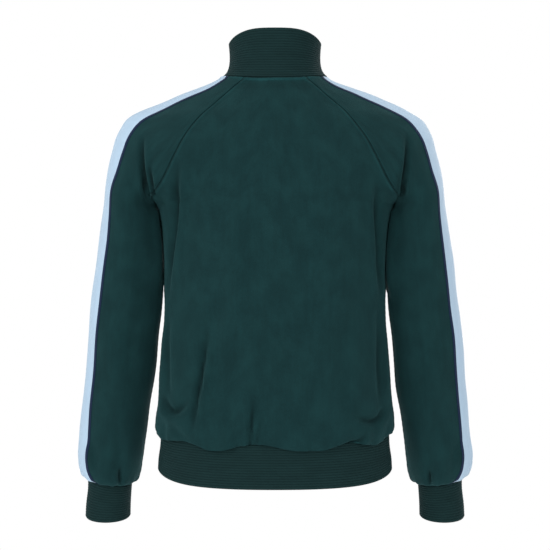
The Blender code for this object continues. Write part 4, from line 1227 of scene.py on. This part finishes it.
def ribbed(wall, ridges, drop, seam_directions=None):
    """One grid for a ribbed tube: up its outer face, round its folded rim, down its inner one.

    The outer face has whole ridges and the inner one flatter ones. The rim is half a
    circle across the wall. Beside the seam the outer face sinks by a groove, and where
    directions are given for the seam, both faces start along them. Also the height of the
    rib in each row, as a share of a whole one.
    """
    outer_share = np.linspace(0, RIM_SHARE, RIDGE_ROWS * ridges + 1)
    inner_share = np.linspace(0, RIM_SHARE, INNER_RIDGE_ROWS * ridges + 1)
    outer, inner = wall(outer_share), wall(inner_share)
    out = np.array([tube_radials(ring) for ring in outer])
    in_from = np.array([tube_radials(ring) for ring in inner])
    if seam_directions is not None:
        for radials, share in ((out, outer_share), (in_from, inner_share)):
            blend = bump(share * drop, SEAM_BLEND)[:, None, None]
            radials[:] = unit(radials + (seam_directions - radials) * blend)
    groove = GROOVE["depth"] * bump(outer_share * drop, GROOVE["width"])
    rise = ridge(outer_share / RIM_SHARE, ridges) - groove
    fall = INNER_RIDGE * ridge(inner_share / RIM_SHARE, ridges)
    outer = outer + out * rise[:, None, None]
    inner = inner - in_from * (RIB_CLOTH + fall[:, None, None])
    for grid in (outer, inner):
        grid[0] = drawn_in(grid[0], grid[3], closed=True)
    middle, half = (outer[-1] + inner[-1]) / 2, (outer[-1] - inner[-1]) / 2
    ahead = unit(outer[-1] - outer[-2 * RIDGE_ROWS]) * np.linalg.norm(half, axis=-1, keepdims=True)
    round_rim = np.linspace(0, np.pi, TURN_ROWS + 2)[1:-1, None, None]
    rim = middle + half * np.cos(round_rim) + ahead * np.sin(round_rim)
    turn = np.full(TURN_ROWS, INNER_RIDGE * RIDGE_HEIGHT)
    rib = np.concatenate([rise, turn, fall[::-1]])
    return np.concatenate([outer, rim, inner[::-1]]), rib / RIDGE_HEIGHT


# ---------------------------------------------------------------- meshes
def signed_volume(points, faces):
    """Sum of p . (q x r) / 6 over the triangles of the faces."""
    corners = points[faces]
    total = 0.0
    for second, third in ((1, 2), (2, 3)):
        normal = np.cross(corners[:, second], corners[:, third])
        total += (corners[:, 0] * normal).sum() / 6
    return total


def cloth_run(grid, tube, zero_column):
    """Distances in metres along a grid's rows, from zero_column, and up its columns."""
    wide = joined_ends(grid, tube)
    across = np.linalg.norm(np.diff(wide, axis=1), axis=-1)
    across = np.pad(np.cumsum(across, axis=1), [(0, 0), (1, 0)])
    up = np.linalg.norm(np.diff(wide, axis=0), axis=-1)
    up = np.pad(np.cumsum(up, axis=0), [(1, 0), (0, 0)])
    return np.stack([across - across[:, zero_column : zero_column + 1], up], axis=-1)


def mesh_piece(name, points, faces, uv, values, material):
    """A piece from its points, faces, cloth coordinates and named values at its points."""
    if signed_volume(points, faces) < 0:
        faces, uv = faces[:, ::-1], uv[:, ::-1]
    mesh = bpy.data.meshes.new(name)
    mesh.from_pydata(points.tolist(), [], faces.tolist())
    layer = mesh.uv_layers.new(name="cloth")
    layer.data.foreach_set("uv", uv.reshape(-1).astype(np.float32))
    for title, value in values.items():
        attribute = mesh.attributes.new(title, "FLOAT", "POINT")
        attribute.data.foreach_set("value", value.reshape(-1).astype(np.float32))
    mesh.shade_smooth()
    mesh.materials.append(material)
    piece = bpy.data.objects.new(name, mesh)
    bpy.context.scene.collection.objects.link(piece)
    return piece


def corners_of(values):
    """Each grid cell's four corner values, in order round the cell."""
    cells = [values[:-1, :-1], values[:-1, 1:], values[1:, 1:], values[1:, :-1]]
    return np.stack(cells, axis=2).reshape(-1, 4, *values.shape[2:])


def shell_piece(name, outer, inner, tube, zero_column, values, material):
    """A closed wall between two grids: both faces, and rims along every edge."""
    both = np.concatenate([outer, inner[::-1]])
    index = np.arange(both[..., 0].size).reshape(both.shape[:2])
    ring = np.concatenate([index, index[:1]])
    faces = [corners_of(joined_ends(ring, tube))]
    run = cloth_run(outer, tube, zero_column)
    uv = [corners_of(np.concatenate([run, run[::-1], run[:1]]))]
    if not tube:
        rows = len(outer)
        for column in (0, -1):
            pair = np.stack([index[:rows, column], index[:rows - 1 : -1, column]], axis=1)
            side = corners_of(pair)
            faces.append(side if column == 0 else side[:, ::-1])
            pair_run = np.stack([run[:, column], run[:, column]], axis=1)
            side = corners_of(pair_run)
            uv.append(side if column == 0 else side[:, ::-1])
    doubled = {title: np.concatenate([value, value[::-1]]) for title, value in values.items()}
    faces, uv = np.concatenate(faces), np.concatenate(uv)
    piece = mesh_piece(name, both.reshape(-1, 3), faces, uv, doubled, material)
    piece.data.set_sharp_from_angle(angle=np.radians(SHARP_ANGLE))
    return piece


def rib_piece(name, grid, rib, material):
    """A ribbed piece: a grid that is closed both round the tube and from face to face."""
    index = np.arange(grid[..., 0].size).reshape(grid.shape[:2])
    faces = corners_of(joined_ends(np.concatenate([index, index[:1]]), True))
    uv = corners_of(cloth_run(np.concatenate([grid, grid[:1]]), True, 0))
    values = {"rib": np.repeat(rib[:, None], grid.shape[1], axis=1)}
    return mesh_piece(name, grid.reshape(-1, 3), faces, uv, values, material)


def tape_grids(rows, directions):
    """The tape's outer and inner points: a strip of the sleeve's points, moved out.

    Its thickness is 1 - 0.6 * |2 w - 1| ** 12 of the whole at a share w of its width.
    """
    strip, out = rows[1:-1, TAPE_SPAN], directions[1:-1, TAPE_SPAN]
    width_share = np.linspace(0, 1, TAPE_COLUMNS + 1)
    thick = TAPE_THICKNESS * (1 - 0.6 * np.abs(2 * width_share - 1) ** 12)
    return strip + out * (SEAM_GAP + thick[:, None]), strip + out * SEAM_GAP


def stitch_lines(outer, directions):
    """Two lines along the tape, STITCH_INSET in from its edges, and the directions out."""
    share = STITCH_INSET / TAPE_WIDTH * TAPE_COLUMNS
    out = directions[1:-1, TAPE_SPAN]
    lines, outs = [], []
    for edge, beside in ((0, 1), (-1, -2)):
        line = outer[:, edge] + (outer[:, beside] - outer[:, edge]) * share
        lines.append(line + STITCH_LIFT * STITCH_RADIUS * out[:, edge])
        outs.append(out[:, edge])
    return lines, outs


def stitch_pattern():
    """One stitch: its points as (along, across, up), its faces and their cloth coordinates.

    It is a closed capsule: rings of STITCH_SIDES points by STITCH_SHAPE, and two faces over
    each end.
    """
    turns = np.arange(STITCH_SIDES + 1) / STITCH_SIDES
    shares, swell = np.array(STITCH_SHAPE).T[:, :, None]
    angle, along = 2 * np.pi * turns[:-1], STITCH_LENGTH * shares
    across, up = (STITCH_RADIUS * swell * turned for turned in (np.cos(angle), np.sin(angle)))
    points = np.stack(np.broadcast_arrays(along, across, up), axis=-1)
    girth = 2 * np.pi * STITCH_RADIUS * turns
    unrolled = np.stack(np.broadcast_arrays(girth, along), axis=-1)
    index = np.arange(points[..., 0].size).reshape(points.shape[:2])
    cap = np.array([[3, 2, 1, 0], [0, 5, 4, 3]])
    faces = [corners_of(joined_ends(index, True)), index[0, cap], index[-1, cap[:, ::-1]]]
    uv = [corners_of(unrolled), unrolled[0, cap], unrolled[-1, cap[:, ::-1]]]
    return points.reshape(-1, 3), np.concatenate(faces), np.concatenate(uv)


def stitch_row(line, up, pattern):
    """The points of the stitches along a line, and each stitch's place along it.

    A point is middle + along * a + across * b + up * c for each (a, b, c) of the pattern.
    """
    run = run_of(line)
    places = np.arange(STITCH_PITCH, run[-1] - STITCH_PITCH, STITCH_PITCH)
    ahead, behind = divided(line, places + RUN_STEP), divided(line, places - RUN_STEP)
    along = unit(ahead - behind)
    lift = unit(np.stack([np.interp(places, run, up[:, k]) for k in range(3)], axis=-1))
    across = unit(np.cross(lift, along))
    axes = np.stack([along, across, unit(np.cross(along, across))], axis=1)
    return divided(line, places)[:, None] + pattern @ axes, places


def stitch_piece(name, lines, ups, material):
    """Rows of stitches along lines, as one mesh."""
    pattern, cells, cell_uv = stitch_pattern()
    rows, starts = [], []
    for line, up in zip(lines, ups):
        stitches, places = stitch_row(line, up, pattern)
        apart = np.full(len(places), STITCH_ROWS_APART * len(rows))
        rows.append(stitches)
        starts.append(np.stack([apart, places], axis=-1))
    points, starts = np.concatenate(rows), np.concatenate(starts)
    offsets = np.arange(len(points)) * len(pattern)
    faces = (cells + offsets[:, None, None]).reshape(-1, 4)
    uv = (cell_uv + starts[:, None, None]).reshape(-1, 4, 2)
    return mesh_piece(name, points.reshape(-1, 3), faces, uv, {}, material)


# ---------------------------------------------------------------- finishes
class Finish:
    """A cloth's material: nodes are added one by one, and each call gives an output.

    Its patterns follow the cloth: across and along are metres over the piece's surface.
    """

    def __init__(self, name, roughness, sheen, sheen_tint):
        self.material = bpy.data.materials.new(name)
        self.material.use_nodes = True
        self.nodes = self.material.node_tree.nodes
        self.links = self.material.node_tree.links
        self.shader = self.nodes["Principled BSDF"]
        self.shader.inputs["Roughness"].default_value = roughness
        self.shader.inputs["Specular IOR Level"].default_value = FIBRE_SHINE
        self.shader.inputs["Sheen Weight"].default_value = sheen
        self.shader.inputs["Sheen Roughness"].default_value = FIBRE_SPREAD
        self.shader.inputs["Sheen Tint"].default_value = (*sheen_tint, 1)
        uv = self.nodes.new("ShaderNodeUVMap")
        uv.uv_map = "cloth"
        self.cloth = uv.outputs["UV"]
        split = self.nodes.new("ShaderNodeSeparateXYZ")
        self.links.new(self.cloth, split.inputs[0])
        self.across, self.along = split.outputs["X"], split.outputs["Y"]

    def set(self, socket, value):
        """Links the socket to another node's output, or gives it a plain value."""
        if isinstance(value, bpy.types.NodeSocket):
            self.links.new(value, socket)
        else:
            socket.default_value = value

    def math(self, operation, first, second=0.0, third=0.0):
        """One of Blender's operations on up to three numbers."""
        node = self.nodes.new("ShaderNodeMath")
        node.operation = operation
        for socket, value in zip(node.inputs, (first, second, third)):
            self.set(socket, value)
        return node.outputs[0]

    def remap(self, value, low, high, to_low, to_high):
        """to_low where the value is low and to_high where it is high, S-shaped between."""
        node = self.nodes.new("ShaderNodeMapRange")
        node.interpolation_type = "SMOOTHSTEP"
        for socket, number in zip(node.inputs, (value, low, high, to_low, to_high)):
            self.set(socket, number)
        return node.outputs["Result"]

    def grain(self, across, along, detail, roughness):
        """Noise with spots of about this size across the cloth and along it."""
        place = self.nodes.new("ShaderNodeMapping")
        self.links.new(self.cloth, place.inputs["Vector"])
        place.inputs["Scale"].default_value = (1 / across, 1 / along, 1)
        noise = self.nodes.new("ShaderNodeTexNoise")
        self.links.new(place.outputs["Vector"], noise.inputs["Vector"])
        noise.inputs["Scale"].default_value = 1.0
        noise.inputs["Detail"].default_value = detail
        noise.inputs["Roughness"].default_value = roughness
        return noise.outputs["Fac"]

    def mottled(self, *layers):
        """1 + the sum of spread * (noise - 0.5), each layer a noise and its spread."""
        shade = 1 - sum(spread for _, spread in layers) / 2
        for noise, spread in layers:
            shade = self.math("MULTIPLY_ADD", noise, spread, shade)
        return shade

    def changed_by(self, title, amount):
        """1 + amount * the named value at the piece's points."""
        return self.math("MULTIPLY_ADD", self.value_at(title), amount, 1.0)

    def value_at(self, title):
        """The named value at the piece's points."""
        node = self.nodes.new("ShaderNodeAttribute")
        node.attribute_name = title
        return node.outputs["Fac"]

    def mix(self, share, first, second):
        """The first colour where the share is 0 and the second where it is 1."""
        node = self.nodes.new("ShaderNodeMix")
        node.data_type = "RGBA"
        self.set(node.inputs["Factor"], share)
        for socket, colour in zip((node.inputs["A"], node.inputs["B"]), (first, second)):
            is_colour = isinstance(colour, tuple)
            self.set(socket, (*colour, 1) if is_colour else colour)
        return node.outputs["Result"]

    def tone(self, colour, factor):
        """The colour times a number."""
        node = self.nodes.new("ShaderNodeVectorMath")
        node.operation = "SCALE"
        self.links.new(colour, node.inputs[0])
        self.set(node.inputs["Scale"], factor)
        return node.outputs["Vector"]

    def raised(self, *layers):
        """Bumps laid one on the other, each a height and the metres that a height of 1 is."""
        normal = None
        for height, distance in layers:
            node = self.nodes.new("ShaderNodeBump")
            node.inputs["Distance"].default_value = distance
            self.links.new(height, node.inputs["Height"])
            if normal is not None:
                self.links.new(normal, node.inputs["Normal"])
            normal = node.outputs["Normal"]
        self.links.new(normal, self.shader.inputs["Normal"])

    def coloured(self, colour):
        """The finished material, with this colour."""
        self.links.new(colour, self.shader.inputs["Base Color"])
        return self.material


def knit_height(finish, wale, course):
    """Height of a plain knit: rows of chevrons, sin(pi * place) * (1 - 3.2 * off ** 2).

    off is |(across / wale)'s fraction - 0.5|, and place the fraction of along / course + off.
    """
    within = finish.math("FRACT", finish.math("DIVIDE", finish.across, wale))
    off = finish.math("ABSOLUTE", finish.math("SUBTRACT", within, 0.5))
    slanted = finish.math("ADD", finish.math("DIVIDE", finish.along, course), off)
    loop = finish.math("SINE", finish.math("MULTIPLY", finish.math("FRACT", slanted), np.pi))
    valley = finish.math("MULTIPLY", off, off)
    return finish.math("MULTIPLY", loop, finish.math("MULTIPLY_ADD", valley, -3.2, 1.0))


def jersey_finish():
    """Dark green brushed jersey: fine wales, a short nap, a mottled, streaky dye, and painted
    shade in its folds and painted highlights on its welts.
    """
    finish = Finish("brushed_jersey", roughness=0.92, sheen=0.060, sheen_tint=(0.25, 0.80, 0.85))
    patches = finish.grain(across=0.030, along=0.045, detail=4.0, roughness=0.6)
    streaks = finish.grain(across=0.0065, along=0.060, detail=3.0, roughness=0.6)
    specks = finish.grain(across=0.0022, along=0.0034, detail=2.0, roughness=0.6)
    fuzz = finish.grain(across=0.0005, along=0.0005, detail=2.0, roughness=0.7)
    shade = finish.mottled((patches, 0.32), (streaks, 0.30), (specks, 0.40))
    # Painted shade in steep folds and under the collar's seam.
    fold_painted_shade = finish.changed_by("shade", -0.75)
    # A painted highlight on the welt below the collar.
    collar_welt_painted_highlight = finish.changed_by("pale", 0.45)
    seam = finish.value_at("seam")
    # A painted highlight on the welt beside each seam, and darker right at the seam.
    welt_painted_highlight = finish.remap(seam, low=0.08, high=0.30, to_low=1.0, to_high=1.32)
    sunk = finish.remap(seam, low=0.35, high=0.95, to_low=1.0, to_high=0.50)
    for factor in (fold_painted_shade, collar_welt_painted_highlight, welt_painted_highlight, sunk):
        shade = finish.math("MULTIPLY", shade, factor)
    worn = finish.remap(patches, low=0.35, high=0.70, to_low=0.0, to_high=1.0)
    colour = finish.mix(worn, JERSEY_DEEP, JERSEY_PALE)
    knit = knit_height(finish, wale=0.0009, course=0.0007)
    finish.raised((patches, 0.0006), (specks, 0.00035), (knit, 0.00009), (fuzz, 0.00012))
    return finish.coloured(finish.tone(colour, shade))


def rib_finish():
    """Dark green rib: its valleys are painted darker as shade, and yarn runs along each rib."""
    finish = Finish("rib_knit", roughness=0.88, sheen=0.025, sheen_tint=(0.30, 0.80, 0.85))
    patches = finish.grain(across=0.040, along=0.018, detail=3.0, roughness=0.6)
    yarn = finish.grain(across=0.0042, along=0.0009, detail=3.0, roughness=0.65)
    rib = finish.value_at("rib")
    # Painted shade: darker where the rib's face lies lower, in its valleys and the groove at its
    # seam.
    valley = finish.remap(rib, low=-0.6, high=0.75, to_low=0.45, to_high=1.0)
    shade = finish.math("MULTIPLY", finish.mottled((patches, 0.30), (yarn, 0.36)), valley)
    colour = finish.mix(patches, RIB_DEEP, RIB_PALE)
    finish.raised((yarn, 0.00022), (knit_height(finish, wale=0.0012, course=0.0009), 0.00010))
    return finish.coloured(finish.tone(colour, shade))


def tape_finish():
    """Pale blue woven tape with a dark edging, and fine ribs across it."""
    finish = Finish("woven_tape", roughness=0.62, sheen=0.05, sheen_tint=(0.9, 0.95, 1.0))
    from_middle = finish.math("ABSOLUTE", finish.math("SUBTRACT", finish.across, TAPE_WIDTH / 2))
    inside = TAPE_WIDTH / 2 - TAPE_EDGING
    start, end = inside - EDGING_BLUR, inside + EDGING_BLUR
    edging = finish.remap(from_middle, low=start, high=end, to_low=0.0, to_high=1.0)
    patches = finish.grain(across=0.012, along=0.020, detail=3.0, roughness=0.6)
    threads = finish.grain(across=0.0016, along=0.0005, detail=2.0, roughness=0.6)
    pale = finish.mix(patches, TAPE_SHADE, TAPE_PALE)
    colour = finish.mix(edging, pale, TAPE_NAVY)
    shade = finish.mottled((threads, 0.16))
    cross = finish.math("SINE", finish.math("MULTIPLY", finish.along, 2 * np.pi / CROSS_RIB))
    finish.raised((cross, 0.00007), (threads, 0.00010))
    return finish.coloured(finish.tone(colour, shade))


def thread_finish():
    """Navy sewing thread, a little shinier than the tape."""
    finish = Finish("sewing_thread", roughness=0.5, sheen=0.0, sheen_tint=(1, 1, 1))
    twist = finish.grain(across=0.0003, along=0.0012, detail=2.0, roughness=0.5)
    return finish.coloured(finish.mix(twist, THREAD_DEEP, THREAD_PALE))


def floor_finish():
    """Plain pale studio floor."""
    material = bpy.data.materials.new("pale_floor")
    material.use_nodes = True
    shader, grey = material.node_tree.nodes["Principled BSDF"], FLOOR["grey"]
    shader.inputs["Base Color"].default_value = (grey, grey, grey, 1)
    shader.inputs["Roughness"].default_value = FLOOR["roughness"]
    return material


# ---------------------------------------------------------------- the garment
def dress_panel(side, grids, directions, jersey):
    """The back or the front."""
    rows, values = finished_rows(grids, directions, side)
    outer, inner = panel_walls(rows, directions[side])
    middle = BODY_COLUMNS // 2
    piece = shell_piece(side + "_jersey", outer, inner, False, middle, values, jersey)
    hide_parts(side)
    return piece


def dress_sleeve(name, hand, grids, directions, finishes):
    """A sleeve, its tape with the stitches, and its cuff."""
    rows, values = finished_rows(grids, directions, name)
    outer, inner = sleeve_walls(rows, directions[name], hand)
    title, middle = name + "_sleeve_jersey", TAPE_START + TAPE_COLUMNS // 2
    sleeve = shell_piece(title, outer, inner, True, middle, values, finishes["jersey"])
    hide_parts("sleeve_" + name)

    outer, inner = (cuff_lean(grid) for grid in tape_grids(rows, directions[name]))
    tape = shell_piece(name + "_tape", outer, inner, False, 0, {}, finishes["tape"])
    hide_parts("sleeve_tape_" + name)
    lines, outs = stitch_lines(outer, directions[name])
    stitches = stitch_piece(name + "_tape_stitches", lines, outs, finishes["thread"])
    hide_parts("sleeve_tape_" + name)

    def wall(share):
        return cuff_wall(share, hand)

    grid, rib = ribbed(wall, RIDGES["cuff"], CUFF_DROP)
    cuff = rib_piece(name + "_cuff_rib", cuff_lean(grid), rib, finishes["rib"])
    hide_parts("cuff_" + name)
    return [sleeve, tape, stitches, cuff]


def dress_hem(finish):
    """The hem band."""
    grid, rib = ribbed(hem_wall, RIDGES["hem"], HEM_DROP)
    piece = rib_piece("hem_rib", hem_tilt(grid), rib, finish)
    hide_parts("hem_band")
    return piece


def dress_collar(grids, directions, finish):
    """The collar, from the line that the panels and the sleeves leave round the neck."""
    seam = neck_ring(grids)

    def wall(share):
        return collar_wall(share, seam)

    grid, rib = ribbed(wall, RIDGES["collar"], RIM_HEIGHT["back"], neck_ring(directions))
    piece = rib_piece("collar_rib", grid, rib, finish)
    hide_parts("collar")
    return piece


def dress():
    """All the pieces of the garment by name, each on its body and with its material's slot."""
    finishes = {
        "jersey": jersey_finish(),
        "rib": rib_finish(),
        "tape": tape_finish(),
        "thread": thread_finish(),
    }
    grids, directions = jersey_grids()
    made = [dress_panel(side, grids, directions, finishes["jersey"]) for side in PANELS]
    for name, hand in SLEEVES.items():
        made += dress_sleeve(name, hand, grids, directions, finishes)
    made.append(dress_hem(finishes["rib"]))
    made.append(dress_collar(grids, directions, finishes["rib"]))
    for piece in made:
        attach(piece, "root")
    return {piece.name: piece for piece in made}


def place_camera():
    """Straight behind the garment, level with its middle."""
    camera = bpy.data.objects.new("camera", bpy.data.cameras.new("camera"))
    camera.location = CAMERA["place"]
    camera.rotation_euler = np.radians(CAMERA["turn"])
    camera.data.sensor_width = CAMERA["sensor"]
    camera.data.lens = CAMERA["lens"]
    bpy.context.scene.collection.objects.link(camera)
    bpy.context.scene.camera = camera


def place_lights():
    """A plain white world, and the soft lights turned to the garment."""
    world = bpy.data.worlds.new("studio")
    world.use_nodes = True
    world.node_tree.nodes["Background"].inputs["Color"].default_value = (1, 1, 1, 1)
    bpy.context.scene.world = world
    bpy.context.scene.view_settings.view_transform = "Standard"
    for title, place, size, energy in LIGHTS:
        light = bpy.data.lights.new(title, "AREA")
        light.shape, light.size, light.energy = "DISK", size, energy
        lamp = bpy.data.objects.new(title, light)
        lamp.location = place
        aim = Vector(LIT_PLACE) - lamp.location
        lamp.rotation_euler = aim.to_track_quat("-Z", "Y").to_euler()
        bpy.context.scene.collection.objects.link(lamp)


def place_floor():
    """A square under the garment."""
    mesh = bpy.data.meshes.new("floor")
    signs = ((-1, -1), (1, -1), (1, 1), (-1, 1))
    corners = [(FLOOR["half"] * x, FLOOR["half"] * y, FLOOR["height"]) for x, y in signs]
    mesh.from_pydata(corners, [], [(0, 1, 2, 3)])
    mesh.materials.append(floor_finish())
    floor = bpy.data.objects.new("floor", mesh)
    bpy.context.scene.collection.objects.link(floor)


dress()
place_camera()
place_lights()
place_floor()
